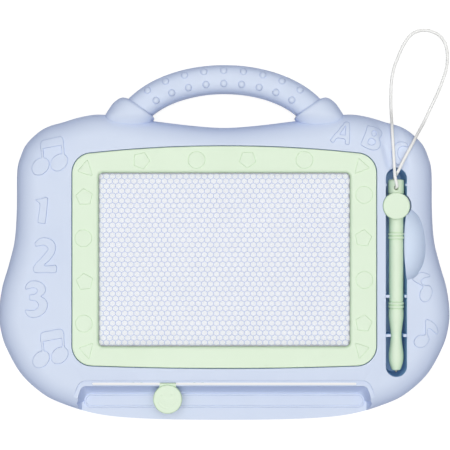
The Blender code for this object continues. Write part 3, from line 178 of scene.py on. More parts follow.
LETTER_A = (
    (344.8, 122), (346.5, 121.1), (348.5, 121.5), (350, 122.9), (350.1, 129.2), (349.7, 142.4),
    (348.8, 144.4), (346.2, 144.6), (344.8, 143.3), (344.7, 139.6), (337.3, 138.4), (334.5, 141.9),
    (332.5, 142.5), (330.6, 141.3), (330.7, 139), (336.5, 132.1), (342.2, 125.2),
)
HOLE_A = (
    (345.6, 126.1), (345.2, 135), (340, 134.3),
)
LETTER_B = (
    (368, 125.2), (370.6, 125.6), (376.7, 126.9), (381, 129.2), (382.8, 132.5), (382.1, 135.9),
    (379.6, 138.6), (380.8, 141.9), (380.5, 145.8), (377.8, 149.4), (373.3, 150.4), (368.3, 149.1),
    (363.3, 146.5), (360.5, 144.6), (361.7, 140.8), (363.9, 135.8), (366.1, 130.2),
)
HOLE_B1 = (
    (373.1, 130.9), (375.1, 130.9), (376.6, 132.6), (376, 134.8), (373.9, 135.9), (372.3, 134.6),
    (372.3, 132.4),
)
HOLE_B2 = (
    (369.6, 138.9), (372.2, 138.6), (374.9, 140.9), (374.4, 143.8), (371.7, 144.9), (368.9, 144),
    (368.1, 142.2),
)
LETTER_C = (
    (408, 147), (407.7, 143.6), (404.2, 141.7), (399.6, 141.5), (396.2, 143.3), (393.3, 146.4),
    (391.6, 151), (391.9, 156.8), (393.9, 161.4), (396.8, 164), (400, 165.3), (402.8, 164.3),
    (402.8, 161.3), (400.8, 159.7), (398.8, 156.2), (398.2, 152.2), (399.6, 148.2), (403.1, 146.3),
    (405.9, 146.7),
)
NOTE_ONE = (
    (412.2, 278.8), (414.8, 274.6), (421, 272.3), (427.1, 273.4), (430.3, 275.3), (429.8, 276.9),
    (424.8, 278), (421.3, 280.7), (422.1, 283.4), (425.6, 285.3), (429.8, 285.5), (432.4, 289.5),
    (432.4, 294.1), (429.4, 299.8), (425.6, 302.1), (422.1, 301.3), (419.8, 297.9), (419.6, 293.3),
    (421, 289.5), (422.7, 286.8), (421, 285.3), (416.4, 282.6), (412.9, 280.3),
)
NOTE_TWO = (
    (425.6, 320.1), (427.5, 319.2), (432.4, 321.6), (436.3, 325.4), (438.4, 330), (438.6, 333.1),
    (437.4, 334.8), (434.7, 332.7), (431.7, 330), (429, 328.7), (427.7, 330), (427.7, 333.9),
    (429.4, 338.5), (429, 341.5), (426.3, 345.3), (422.5, 347.6), (417.9, 347.5), (414.5, 345),
    (413.7, 341.5), (415.6, 337.7), (419.4, 335), (424.8, 334.5), (425.2, 330), (425.2, 323.1),
)

# Pairs of notes: the heads' places and half lengths, then two stems and the beam
PAIR_TOP = (
    ((40.5, 166.4, 10.1, 7.85), (59.2, 162.4, 9.9, 7.7)),
    (((40.1, 142), (43.3, 142), (43.2, 148.7), (44.1, 157.5), (44.4, 160), (41.2, 160),
      (41.2, 157.1)),
     ((61, 140), (63.4, 140), (64.7, 153.5), (65, 157), (62, 157), (61.7, 153.2), (61.1, 145.4)),
     ((40.1, 146), (40.2, 142.6), (42.5, 139.8), (50, 138.2), (59.2, 136.3), (62.4, 137.5),
      (63.5, 140.6), (63.9, 144.8), (61.1, 145.5), (52, 147.1), (43.2, 148.7), (40.4, 149))),
)
PAIR_LOW = (
    ((41.1, 359.4, 9.8, 7.6), (59.7, 355.4, 9.8, 7.6)),
    (((40.3, 335), (43.4, 335), (43.5, 341.8), (44.4, 350.5), (44.7, 354), (41.8, 354),
      (41.8, 350.5)),
     ((61.4, 332.5), (63.9, 332.5), (64.9, 346.9), (65.2, 350), (62.3, 350), (62.2, 346.5),
      (61.8, 338.3)),
     ((40.3, 339), (40.5, 335), (42.1, 332.2), (50, 330.6), (59, 328.9), (62.2, 329.7),
      (63.9, 332.9), (64.2, 338), (61.8, 338.4), (52, 340.1), (43.5, 341.7), (40.6, 342))),
)


def from_photo(points, height=CASE_HEIGHT):
    """Places on a level of the board for pixels of the photograph, in millimetres."""
    scale = MM_PER_PIXEL * (EYE_ABOVE - (height - BACK_DEPTH)) / EYE_ABOVE
    x, y = (np.moveaxis(np.asarray(points, float), -1, 0) - MIDDLE_PIXEL) * scale
    return np.stack([PHOTO_X + x, PHOTO_Y - y], -1)


def spline(points, per_span, closed=False):
    """Points on a Catmull-Rom curve through points of any dimension."""
    points = np.asarray(points, float)
    if closed:
        padded = [points[-1], *points, *points[:2]]
    else:
        padded = [2 * points[0] - points[1], *points, 2 * points[-1] - points[-2]]
    out = []
    for a, b, c, d in zip(padded, padded[1:], padded[2:], padded[3:]):
        for step in range(per_span):
            t = step / per_span
            out.append((2 * b + (c - a) * t + (2 * a - 5 * b + 4 * c - d) * t ** 2
                        + (3 * b - a - 3 * c + d) * t ** 3) / 2)
    return np.array(out if closed else [*out, points[-1]])


def lengths_along(path):
    """How far along a path each of its points lies."""
    return np.concatenate([[0], np.cumsum(np.linalg.norm(np.diff(path, axis=0), axis=1))])


def evenly(path, count=None, pitch=None, closed=False):
    """Points at even steps along a path."""
    if closed:
        path = np.concatenate([path, path[:1]])
    travelled = lengths_along(path)
    if count is None:
        count = max(6, round(travelled[-1] / pitch)) + (0 if closed else 1)
    targets = np.linspace(0, travelled[-1], count, endpoint=not closed)
    return np.stack([np.interp(targets, travelled, values) for values in path.T], 1)


def area(loop):
    """The signed area of a flat loop."""
    x, y = loop[:, 0], loop[:, 1]
    return 0.5 * np.sum(x * np.roll(y, -1) - np.roll(x, -1) * y)


def facing(loop, way):
    """A loop that runs counter-clockwise (1) or clockwise (-1)."""
    loop = np.asarray(loop, float)
    return loop if area(loop) * way > 0 else loop[::-1]


def ordered(loops):
    """Loops that run counter-clockwise outside and clockwise round holes."""
    return [facing(loop, -1 if number else 1) for number, loop in enumerate(loops)]


def arc(x, y, radius, start, end, steps):
    """Points on an arc, or on an elliptic one with two radii, between angles in degrees."""
    across, up = np.broadcast_to(radius, 2)
    angles = np.radians(np.linspace(start, end, steps + 1))
    return np.stack([x + across * np.cos(angles), y + up * np.sin(angles)], 1)


def circle(x, y, radius, steps=48):
    """A round loop."""
    return arc(x, y, radius, 0, 360, steps)[:-1]


def sides_of(loops):
    """The sides of loops as pairs of indices, with the loops' points numbered in a row."""
    sides = []
    start = 0
    for loop in loops:
        count = len(loop)
        sides += [(start + index, start + (index + 1) % count) for index in range(count)]
        start += count
    return sides


def inset(loop, width):
    """A loop drawn in to its left by a width."""
    ahead = np.roll(loop, -1, 0) - loop
    ahead /= np.maximum(np.linalg.norm(ahead, axis=1, keepdims=True), 1e-9)
    behind = np.roll(ahead, 1, 0)
    left = np.stack([-(ahead[:, 1] + behind[:, 1]), ahead[:, 0] + behind[:, 0]], 1)
    left /= np.maximum(np.linalg.norm(left, axis=1, keepdims=True), 1e-9)
    own = np.stack([-ahead[:, 1], ahead[:, 0]], 1)
    reach = 1 / np.maximum(0.6, np.sum(left * own, 1, keepdims=True))
    return loop + left * width * reach


def clearance(points, loops):
    """Each point's distance from the nearest side of the loops."""
    best = np.full(len(points), 1e9)
    for loop in loops:
        run = np.roll(loop, -1, 0) - loop
        for (x, y), (dx, dy) in zip(loop, run):
            across, along = points[:, 0] - x, points[:, 1] - y
            share = np.clip((across * dx + along * dy) / max(dx * dx + dy * dy, 1e-12), 0, 1)
            best = np.minimum(best, np.hypot(across - share * dx, along - share * dy))
    return best


def inside(points, loops):
    """Which points lie inside the loops, by the even-odd rule."""
    result = np.zeros(len(points), bool)
    for loop in loops:
        after = np.roll(loop, -1, 0)
        for (x0, y0), (x1, y1) in zip(loop, after):
            if y0 == y1:
                continue
            crossing = (y0 > points[:, 1]) != (y1 > points[:, 1])
            level = x0 + (points[:, 1] - y0) * (x1 - x0) / (y1 - y0)
            result ^= crossing & (points[:, 0] < level)
    return result


def lattice(low, high, pitch):
    """Points on an even lattice between two flat corners."""
    x, y = np.meshgrid(np.arange(low[0], high[0], pitch), np.arange(low[1], high[1], pitch))
    return np.stack([x.ravel(), y.ravel()], 1)


def triangles(loops, extra):
    """Flat points and triangles that fill the loops, with extra points inside."""
    points = np.concatenate([*loops, np.reshape(extra, (-1, 2))])
    edges = sides_of(loops)
    found = delaunay_2d_cdt([Vector(point) for point in points], edges, [], 0, 1e-6)
    flat = np.array([points[origin[0]] if origin else tuple(point)
                     for point, origin in zip(found[0], found[3])])
    now = {old: new for new, origin in enumerate(found[3]) for old in origin}
    border = {(now[a], now[b]) for a, b in edges}
    owner = {(face[index], face[(index + 1) % 3]): face for face in map(tuple, found[2])
             for index in range(3)}
    waiting = [owner[side] for side in border if side in owner]
    kept = set()
    while waiting:
        face = waiting.pop()
        if face in kept:
            continue
        kept.add(face)
        for index in range(3):
            side = (face[index], face[(index + 1) % 3])
            if side not in border and side[::-1] in owner:
                waiting.append(owner[side[::-1]])
    return flat, sorted(kept)


def flat_at(height):
    """A level surface at a height."""
    return lambda points, level=0: np.full(len(points), float(height))


def corners_of(form, digits=5):
    """A maker of corners, which shares those at one place."""
    made = {}

    def corner(*place):
        key = tuple(round(value, digits) for value in place)
        if key not in made:
            made[key] = form.verts.new([value * MM for value in key])
        return made[key]

    return corner


def plate(loops, profile, rise=flat_at(0), grid=None):
    """A plate whose edge follows a profile of (inset, height) over a surface."""
    loops = ordered(loops)
    rings = [[inset(loop, width) for loop in loops] for width, _ in profile]
    form = bmesh.new()
    corner = corners_of(form)
    rows = []
    for (_, level), ring in zip(profile, rings):
        rows.append([[corner(*point, level + lift) for point, lift in zip(loop, rise(loop, level))]
                     for loop in ring])
    for lower, upper in zip(rows, rows[1:]):
        for below, above in zip(lower, upper):
            for face in zip(below, below[1:] + below[:1], above[1:] + above[:1], above):
                face = list(dict.fromkeys(face))
                if len(face) > 2:
                    form.faces.new(face)
    for ring, (_, level), way in ((rings[0], profile[0], -1), (rings[-1], profile[-1], 1)):
        extra = []
        if grid is not None:
            extra = grid[inside(grid, [inset(loop, 0.5) for loop in ring])]
        flat, faces = triangles(ring, extra)
        lifts = rise(flat, level)
        for face in faces:
            made = [corner(*flat[index], level + lifts[index]) for index in face[::way]]
            if len(set(made)) == 3:
                form.faces.new(made)
    return form


def relief(loops, depth, slope, rise, pitch=1.3):
    """A raised shape whose height follows its distance from its own outline."""
    loops = ordered(loops)
    widths, heights = map(list, zip(*slope))
    extra = [inset(loop, width) for loop in loops for width in widths[1:]]
    kept = []
    for points, width in zip(extra, widths[1:] * len(loops)):
        near = clearance(points, loops)
        kept.append(points[(near > 0.9 * width) & inside(points, loops)])
    outline = np.concatenate(loops)
    grid = lattice(outline.min(0), outline.max(0), pitch)
    kept.append(grid[inside(grid, loops) & (clearance(grid, loops) > widths[-1] + pitch / 4)])
    flat, faces = triangles(loops, np.concatenate(kept))
    under_faces = triangles(loops, [])[1]
    level = rise(flat, 0)
    tops = level + np.interp(clearance(flat, loops), widths, heights)
    count = len(outline)
    form = bmesh.new()
    top = [form.verts.new((x * MM, y * MM, z * MM)) for (x, y), z in zip(flat, tops)]
    low = [form.verts.new((x * MM, y * MM, (z - depth) * MM))
           for (x, y), z in zip(outline, level[:count])]
    for a, b, c in faces:
        form.faces.new((top[a], top[b], top[c]))
    for a, b, c in under_faces:
        form.faces.new((low[c], low[b], low[a]))
    for a, b in sides_of(loops):
        form.faces.new((low[a], low[b], top[b], top[a]))
    return form


def lofted(rows, joined=False, around=True):
    """A form through rows of points, joined to a ring or capped, and closed around or not."""
    form = bmesh.new()
    rows = [[form.verts.new(np.asarray(point) * MM) for point in row] for row in rows]
    for lower, upper in zip(rows, rows[1:] + (rows[:1] if joined else [])):
        sides = list(zip(lower, lower[1:] + lower[:1], upper[1:] + upper[:1], upper))
        for side in sides if around else sides[:-1]:
            form.faces.new(side)
    if not joined:
        form.faces.new(rows[0][::-1])
        form.faces.new(rows[-1])
    return form


def sweep(path, radii, sides, closed=False, start_up=(0, 0, 1)):
    """A round tube along a path, with a radius at each point or for each point and angle."""
    path = np.asarray(path, float)
    ahead = np.roll(path, -1, 0) - path
    behind = path - np.roll(path, 1, 0)
    if not closed:
        ahead[-1] = behind[-1]
        behind[0] = ahead[0]
    along = ahead + behind
    along /= np.linalg.norm(along, axis=1, keepdims=True)
    up = np.array(start_up, float)
    rows = []
    angles = 2 * np.pi * np.arange(sides) / sides
    for index in range(len(path)):
        up = up - along[index] * np.dot(up, along[index])
        up /= np.linalg.norm(up)
        side = np.cross(along[index], up)
        radius = radii[index] if np.ndim(radii) else radii
        spokes = np.cos(angles)[:, None] * up + np.sin(angles)[:, None] * side
        rows.append(path[index] + spokes * np.reshape(radius, (-1, 1)))
    return lofted(rows, closed)


def turned(profile, steps, centre=(0, 0, 0), lying=False):
    """A turned body from a closed run of (radius, height), upright or along Y."""
    radii, heights = np.array(profile, float).T
    rows = []
    for x, y in circle(0, 0, 1, steps):
        place = (radii * x, heights, radii * y) if lying else (radii * x, radii * y, heights)
        rows.append(np.stack(place, 1) + centre)
    form = lofted(rows, True, False)
    bmesh.ops.remove_doubles(form, verts=form.verts, dist=1e-7)
    return form


def ball(centre, radii, steps, rings):
    """A sphere drawn out to three half lengths."""
    form = bmesh.new()
    bmesh.ops.create_uvsphere(form, u_segments=steps, v_segments=rings, radius=1)
    bmesh.ops.scale(form, vec=[radius * MM for radius in radii], verts=form.verts)
    bmesh.ops.translate(form, vec=[place * MM for place in centre], verts=form.verts)
    return form


def block(low, high):
    """A box between two corners."""
    low, high = Vector(low) * MM, Vector(high) * MM
    form = bmesh.new()
    bmesh.ops.create_cube(form, size=1)
    bmesh.ops.scale(form, vec=high - low, verts=form.verts)
    bmesh.ops.translate(form, vec=(low + high) / 2, verts=form.verts)
    return form


def item_from(name, form):
    """Turn a mesh in the making into an object."""
    bmesh.ops.recalc_face_normals(form, faces=form.faces)
    mesh = bpy.data.meshes.new(name)
    form.to_mesh(mesh)
    form.free()
    item = bpy.data.objects.new(name, mesh)
    bpy.context.scene.collection.objects.link(item)
    return item


def combine(item, *forms, operation="DIFFERENCE"):
    """Cut other forms from an item, one after another."""
    for form in forms:
        other = item_from("cutter", form) if isinstance(form, bmesh.types.BMesh) else form
        step = item.modifiers.new("step", "BOOLEAN")
        step.operation = operation
        step.object = other
        step.solver = "MANIFOLD"
        graph = bpy.context.evaluated_depsgraph_get()
        mesh = bpy.data.meshes.new_from_object(item.evaluated_get(graph))
        item.modifiers.clear()
        used = (item.data, other.data)
        item.data = mesh
        bpy.data.objects.remove(other)
        for old in used:
            bpy.data.meshes.remove(old)
        if not len(mesh.polygons):
            raise ValueError(f"{item.name} was lost")
    return item


def join(item, *forms):
    """Join other forms to an item, one after another."""
    return combine(item, *forms, operation="UNION")


def shade(item, angle=32, weighted=True):
    """Shade smooth with sharp edges kept."""
    item.data.shade_smooth()
    item.data.set_sharp_from_angle(angle=math.radians(angle))
    if weighted:
        step = item.modifiers.new("normals", "WEIGHTED_NORMAL")
        step.keep_sharp = True
        step.weight = 50


def dress(item, material, body, slot, *nodes, smooth=True):
    """Give a piece its shading, material, body and the nodes that it stands for; its slot is not
    used.
    """
    if smooth:
        shade(item)
    item.data.materials.clear()
    item.data.materials.append(material)
    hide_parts(*nodes)
    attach(item, body)


# Materials

def new_material(name):
    """A material with its node tree, shader and object coordinates."""
    material = bpy.data.materials.new(name)
    material.use_nodes = True
    tree = material.node_tree
    place = tree.nodes.new("ShaderNodeTexCoord").outputs["Object"]
    return material, tree, tree.nodes["Principled BSDF"], place


def plug(tree, node, inputs):
    """Link or set the inputs of a node."""
    for name, value in inputs.items():
        if isinstance(value, bpy.types.NodeSocket):
            tree.links.new(value, node.inputs[name])
        else:
            node.inputs[name].default_value = value


def add_node(tree, kind, inputs, **settings):
    """The first output of a new node."""
    node = tree.nodes.new("ShaderNode" + kind)
    for name, value in settings.items():
        setattr(node, name, value)
    plug(tree, node, inputs)
    return node.outputs[0] if node.outputs else None


def noise(tree, place, scale, detail=3.0, roughness=0.5):
    """A noise pattern of a scale per metre."""
    return add_node(tree, "TexNoise", {"Vector": place, "Scale": scale, "Detail": detail,
                                       "Roughness": roughness})


def spread(tree, value, low, high, start=0.3, end=0.7):
    """A value moved from one range to another."""
    return add_node(tree, "MapRange", {"Value": value, "From Min": start, "From Max": end,
                                       "To Min": low, "To Max": high})


def mixed(tree, factor, first, second, how="MIX"):
    """Two colours mixed by a factor."""
    node = tree.nodes.new("ShaderNodeMix")
    node.data_type = "RGBA"
    node.blend_type = how
    first, second = [(*colour, 1.0) if isinstance(colour, tuple) else colour
                     for colour in (first, second)]
    plug(tree, node, {0: factor, 6: first, 7: second})
    return node.outputs[2]


def bump(tree, height, strength, distance):
    """A normal driven by a height."""
    return add_node(tree, "Bump", {"Height": height, "Strength": strength, "Distance": distance})


def plastic(name, colour, other, roughness=0.45, grain=1400.0, strength=0.12, edge=None):
    """Moulded plastic with faint clouds, an uneven gloss, a fine grain and painted shade that
    deepens the colour where the surface turns away from view.
    """
    material, tree, shader, place = new_material(name)
    base = mixed(tree, spread(tree, noise(tree, place, 22.0, 4.0), 0, 1), colour, other)
    if edge is not None:
        # Painted shade: the colour is multiplied towards the edge colour where the surface turns
        # away from view.
        facing_shade = tree.nodes.new("ShaderNodeLayerWeight")
        facing_shade.inputs["Blend"].default_value = 0.5
        base = mixed(tree, facing_shade.outputs["Facing"], base, edge, "MULTIPLY")
    gloss = spread(tree, noise(tree, place, 60.0), roughness - 0.04, roughness + 0.05)
    plug(tree, shader, {"Base Color": base, "Roughness": gloss, "Specular IOR Level": 0.3,
                        "Normal": bump(tree, noise(tree, place, grain, 2.0), strength, 0.00006)})
    return material


# The edge colours are painted shade, deepening each plastic at its grazing edges.
SHELL_BLUE = plastic("shell_blue", (0.625, 0.695, 0.835), (0.605, 0.678, 0.826),
                     edge=(0.62, 0.70, 0.93))
# A darker, more saturated blue that is painted shade for the deep pen channel and the groove round
# the frame.
PAINTED_SHADE_BLUE = plastic("shell_blue_painted_shade", (0.37, 0.56, 0.79), (0.34, 0.53, 0.77),
                    edge=(0.62, 0.80, 0.98))
FRAME_GREEN = plastic("frame_green", (0.715, 0.838, 0.672), (0.700, 0.828, 0.654),
                      edge=(0.76, 0.92, 0.66))
CELL_FILL = plastic("cell_fill", (0.845, 0.853, 0.868), (0.828, 0.838, 0.857), 0.35, 700.0, 0.2)
CELL_WALL = plastic("cell_wall", (0.47, 0.55, 0.80), (0.45, 0.53, 0.79), 0.4)
SHEET_WHITE = plastic("sheet_white", (0.82, 0.82, 0.82), (0.80, 0.80, 0.80), 0.6)
MAGNET = plastic("magnet_rubber", (0.045, 0.045, 0.048), (0.03, 0.03, 0.033), 0.7, 900.0, 0.4)


def clear_film():
    """A thin clear film, which lets most light through and has a soft gloss."""
    material, tree, shader, place = new_material("clear_film")
    plug(tree, shader, {"Base Color": (0.93, 0.95, 0.98, 1.0), "Alpha": 0.12,
                        "Roughness": spread(tree, noise(tree, place, 90.0), 0.22, 0.34),
                        "Normal": bump(tree, noise(tree, place, 300.0, 2.0), 0.08, 0.00005)})
    return material


def metal(name, colour, other, roughness):
    """Plated metal with a brushed gloss."""
    material, tree, shader, place = new_material(name)
    stretched = add_node(tree, "Mapping", {"Vector": place, "Scale": (1.0, 1.0, 12.0)})
    marks = noise(tree, stretched, 900.0, 3.0)
    plug(tree, shader, {"Base Color": mixed(tree, spread(tree, marks, 0, 1), colour, other),
                        "Roughness": spread(tree, marks, roughness - 0.08, roughness + 0.1),
                        "Normal": bump(tree, marks, 0.15, 0.00005), "Metallic": 1.0})
    return material


def cord_fabric():
    """White braided cord, a little grey where its fibre pattern rises, with fine fibres."""
    material, tree, shader, place = new_material("cord_fabric")
    fibres = noise(tree, place, 2600.0, 3.0, 0.6)
    colour = mixed(tree, spread(tree, fibres, 0, 1), (0.97, 0.97, 0.95), (0.87, 0.87, 0.86))
    plug(tree, shader, {"Base Color": colour, "Roughness": spread(tree, fibres, 0.75, 0.92),
                        "Normal": bump(tree, fibres, 0.5, 0.0001), "Sheen Weight": 0.25})
    return material


CLEAR_FILM = clear_film()
TIP_METAL = metal("tip_metal", (0.22, 0.22, 0.23), (0.15, 0.15, 0.16), 0.35)
SCREW_STEEL = metal("screw_steel", (0.58, 0.59, 0.61), (0.48, 0.49, 0.51), 0.32)
CORD_WHITE = cord_fabric()


# Camera, then the cord

camera = bpy.data.objects.new("camera", bpy.data.cameras.new("camera"))
bpy.context.scene.collection.objects.link(camera)
camera.location = Vector((PHOTO_X, PHOTO_Y, BACK_DEPTH + EYE_ABOVE)) * MM
camera.rotation_euler = (0, 0, 0)
camera.data.lens = 92.3
camera.data.sensor_width = 36
bpy.context.scene.camera = camera


def make_cord():
    """The braided cord, from the knot in the pen's end cap round and back into it."""
    path = evenly(spline(CORD_ROUTE, 16), pitch=0.00033)
    travelled = lengths_along(path)
    sides, lobes, lay = 30, 5, 0.0080
    angle = 2 * np.pi * np.arange(sides) / sides
    turn = travelled[:, None] / lay * 2 * np.pi
    woven = np.maximum(np.cos(lobes * (angle + turn)), np.cos(lobes * (angle - turn)))
    cord = item_from("cord_braid", sweep(path / MM, 1.03 + 0.09 * woven, sides, False, (1, 0, 0)))
    middle = (CHANNEL_X, CORD_HOLE_Y, PEN_Z)
    knot = ball(middle, (2.15, 2.15, 2.15), 24, 16)
    for vert in knot.verts:
        local = vert.co / MM - Vector(middle)
        wave = math.sin(3 * math.atan2(local.y, local.x) + 2.2 * local.z)
        vert.co += local.normalized() * (0.10 * (wave - 1)) * MM
    knot = item_from("cord_end_knot", knot)
    for item, node in ((cord, "pen_cord"), (knot, "cord_knot")):
        shade(item, 80, False)
        dress(item, CORD_WHITE, "pen", "cord_fabric", node, smooth=False)


make_cord()


# The case

def case_loop():
    """The case's outline at its widest."""
    half = [(across * CASE_HALF, CASE_BOTTOM + along * CASE_LENGTH)
            for across, along in reversed(CASE_OUTLINE)]
    left = [(-x, y) for x, y in reversed(half)]
    loop = np.array([(0, CASE_BOTTOM)] + half + [(0, CASE_TOP)] + left)
    return evenly(spline(loop, 24, closed=True), 360, closed=True)


OUTLINE = case_loop()


def smoothstep(value, low, high):
    """A soft step from 0 to 1."""
    t = np.clip((value - low) / (high - low), 0, 1)
    return t * t * (3 - 2 * t)


def dish(points):
    """How far the case's face dips round the cord's way out of the channel."""
    x, y = points[:, 0], points[:, 1]
    along = y - 56
    middle = 125.6 - 0.21 * along
    half = 7.4 + 0.054 * along
    across = np.abs(x - middle) - half
    depth = 1.6 * smoothstep(y, 46, 58)
    return -depth * (1 - smoothstep(across, -2.6, 2.6))


def dish_at(points, level):
    """How far the dish lowers the case at a level, from nothing at its widest."""
    return dish(points) * np.clip((level - BACK_DEPTH) / 10, 0, 1)


def face_height(points, level=0):
    """The height of the case's face."""
    depth = np.minimum(1, clearance(points, [OUTLINE]) / FACE_ROUNDING)
    height = BACK_DEPTH + FRONT_DEPTH * np.sqrt(1 - (1 - depth) ** 2)
    return height + dish_at(points, height)


def case_profile(wall, back_steps, face_steps):
    """The profile of the case's edge, from its back to its face."""
    back, face = BACK_ROUNDING - wall / 2, FACE_ROUNDING - wall / 2
    return [*arc(wall + back, BACK_DEPTH, (-back, wall - BACK_DEPTH), 90, 0, back_steps)[:-1],
            *arc(wall + face, BACK_DEPTH, (-face, FRONT_DEPTH - wall), 0, 90, face_steps)]


def handle_point(angle):
    """A point on the handle's centreline."""
    return np.array([HANDLE_SPAN * math.cos(angle), HANDLE_CENTRE_Y + HANDLE_RISE * math.sin(angle),
                     BACK_DEPTH])


def handle_path(end_angle, count):
    """The handle's centreline."""
    fine = [handle_point(end_angle + (math.pi - 2 * end_angle) * step / 900) for step in range(901)]
    return evenly(np.array(fine), count)


def squared(angles):
    """How far the handle's flattened section reaches past a circle at some angles."""
    across, up = np.abs(np.sin(angles)), np.abs(np.cos(angles))
    return (across ** HANDLE_POWER + up ** HANDLE_POWER) ** (-1 / HANDLE_POWER)


def handle_radii(sides):
    """The handle's section, a little flat on its front and back."""
    angles = 2 * np.pi * np.arange(sides) / sides
    wide = np.hypot(np.cos(angles), HANDLE_WIDEN * np.sin(angles))
    return HANDLE_RADIUS * squared(angles) * wide


def dot_angles(pitch):
    """The angles of nine dots along the handle, from its middle outwards on both sides."""
    step = math.pi / 3600
    angles = [math.pi / 2]
    angle, travelled = math.pi / 2, 0.0
    while len(angles) < 5:
        travelled += np.linalg.norm(handle_point(angle - step) - handle_point(angle))
        angle -= step
        if travelled >= pitch:
            travelled -= pitch
            angles.append(angle)
    return angles + [math.pi - angle for angle in angles[1:]]


def handle_dots():
    """The raised dots along the handle, on its front and its back."""
    joined = bmesh.new()
    for tilt, pitch in ((math.radians(29.4), 13.75), (math.radians(-21.7), 13.4)):
        for angle in dot_angles(pitch):
            angle += 0.006
            centre = Vector(handle_point(angle))
            out = Vector((HANDLE_RISE * math.cos(angle), HANDLE_SPAN * math.sin(angle), 0))
            out.normalize()
            for side, sunk in ((1, 0.5), (-1, 1.0)):
                up = Vector((0, 0, side))
                lean = math.sin(tilt) * abs(math.sin(tilt)) ** (HANDLE_POWER - 2)
                normal = (out * lean + up * math.cos(tilt) ** (HANDLE_POWER - 1)).normalized()
                surface = (out * math.sin(tilt) * HANDLE_WIDEN + up * math.cos(tilt)) \
                    * HANDLE_RADIUS * float(squared(tilt))
                form = turned(HANDLE_DOT, 28)
                form.transform(Matrix.Translation((centre + surface - normal * sunk) * MM)
                               @ normal.to_track_quat("Z", "Y").to_matrix().to_4x4())
                mesh = bpy.data.meshes.new("dot")
                form.to_mesh(mesh)
                form.free()
                joined.from_mesh(mesh)
                bpy.data.meshes.remove(mesh)
    return joined


def collar(side):
    """The swelling round the handle's end."""
    mouth = handle_point(math.pi / 2 - side * (math.pi / 2 - math.radians(32)))
    tilt = math.radians(55)
    into = np.array([side * math.cos(tilt), -math.sin(tilt), 0])
    outward = np.array([side * math.sin(tilt), math.cos(tilt), 0])
    count = 64
    angles = 2 * np.pi * (np.arange(count) + 0.5) / count
    reach = HANDLE_RADIUS * squared(angles)
    rows = []
    for depth, shift, width, height in spline(COLLAR, 6):
        row = mouth + (into * depth + outward * shift) * HANDLE_RADIUS \
            + np.outer(width * reach * np.cos(angles), outward)
        rise = height * reach * (1 - 0.45 * smoothstep(95 - row[:, 1], 0, 16))
        rise = np.where(angles > np.pi, np.minimum(rise, BACK_DEPTH - 0.3), rise)
        row[:, 2] += rise * np.sin(angles)
        rows.append(row)
    return lofted(rows)


def bowed(half, low, high, radius, top_bow=0, bottom_bow=0, grow=0, steps=10):
    """A rectangle with round corners and bowed ends."""
    half, high, low, radius = half + grow, high + grow, low - grow, radius + grow
    run = half - radius
    share = 1 - np.arange(1, 24) / 12
    top, bottom = [np.stack([way * run * share, level - way * bow * share ** 2], 1)[:99 * bool(bow)]
                   for level, bow, way in ((high, top_bow, 1), (low, bottom_bow, -1))]
    low, high = low + bottom_bow + radius, high - top_bow - radius
    return np.concatenate([
        arc(run, low, radius, -90, 0, steps), arc(run, high, radius, 0, 90, steps), top,
        arc(-run, high, radius, 90, 180, steps), arc(-run, low, radius, 180, 270, steps), bottom])


def frame_edge(grow=0):
    """The frame's outer edge."""
    return bowed(FRAME_HALF, FRAME_LOW, FRAME_HIGH, 14.5, 5.1, 1.8, grow, 16)


def screen_edge(grow=0):
    """The window's edge."""
    return bowed(SCREEN_HALF, SCREEN_LOW, SCREEN_HIGH, 3.5, grow=grow)


def stadium(grow=0):
    """The pen channel's edge."""
    return np.concatenate([
        arc(CHANNEL_X, CHANNEL_LOW + CHANNEL_RADIUS, CHANNEL_RADIUS + grow, 180, 360, 24),
        arc(CHANNEL_X, CHANNEL_HIGH - CHANNEL_RADIUS, CHANNEL_RADIUS + grow, 0, 180, 24)])


def lipped(low, top, fillet):
    """A cutter's profile that rounds the edge of the surface it goes through."""
    return [(0, low), *arc(-fillet, top - fillet, fillet, 0, 90, 4), (-fillet - 0.001, top + 2)]


def tray_loop(edge_y, half_width, flare, run):
    """A tray's outline that widens towards the open bottom edge."""
    right = [(half_width + flare * out, edge_y - run * (1 - share))
             for out, share in spline(TRAY_END, 6)]
    right.append((half_width + flare, CASE_BOTTOM - WALL))
    return [(-x, y) for x, y in right] + right[::-1]


def terrace_loop(grow=0):
    """The edge of the step round the tray."""
    return tray_loop(TRAY_EDGE_Y + grow, TRAY_HALF + grow, 10.5, 16.9)


def tray_form(grow):
    """The sunk tray below the slot, with a hollow foot to its slopes."""
    slope, side_slope = 6.5, 4.0
    levels = [(BACK_DEPTH - 1, 1.0)] if grow else []
    levels += [(TRAY_FLOOR + (TERRACE_Z - TRAY_FLOOR) * share ** 1.35, 1 - share)
               for share in np.linspace(0, 1, 13)]
    levels.append((CASE_HEIGHT + 1, 0.0))
    rows = []
    for height, foot in levels:
        loop = tray_loop(TRAY_RIM_Y - slope * foot + grow, TRAY_HALF - side_slope * foot + grow,
                         6.7, 13.1 - slope * foot)
        rows.append([(x, y, height) for x, y in loop])
    return lofted(rows)


def scoop(grow):
    """The hollow on the channel's outer side for a fingertip, grown by a wall."""
    radii = [radius + grow for radius in SCOOP_RADII]
    hollowed = item_from("scoop", ball(SCOOP_CENTRE, radii, 96, 64))
    return combine(hollowed, block((CHANNEL_X - 40, -60, -10), (CHANNEL_X, 60, 60)))


BOSSES = [(side * x, y) for x, y in ((129.7, 70.0), (90.0, 79.0), (146.0, -45.0), (117.0, -109.5))
          for side in (-1, 1)]


def discs(places, radius, low, high, steps=24):
    """Upright cylinders at several places."""
    joined = bmesh.new()
    for x, y in places:
        bmesh.ops.create_cone(joined, cap_ends=True, segments=steps, radius1=radius * MM,
                              radius2=radius * MM, depth=(high - low) * MM,
                              matrix=Matrix.Translation((x * MM, y * MM, (low + high) / 2 * MM)))
    return joined


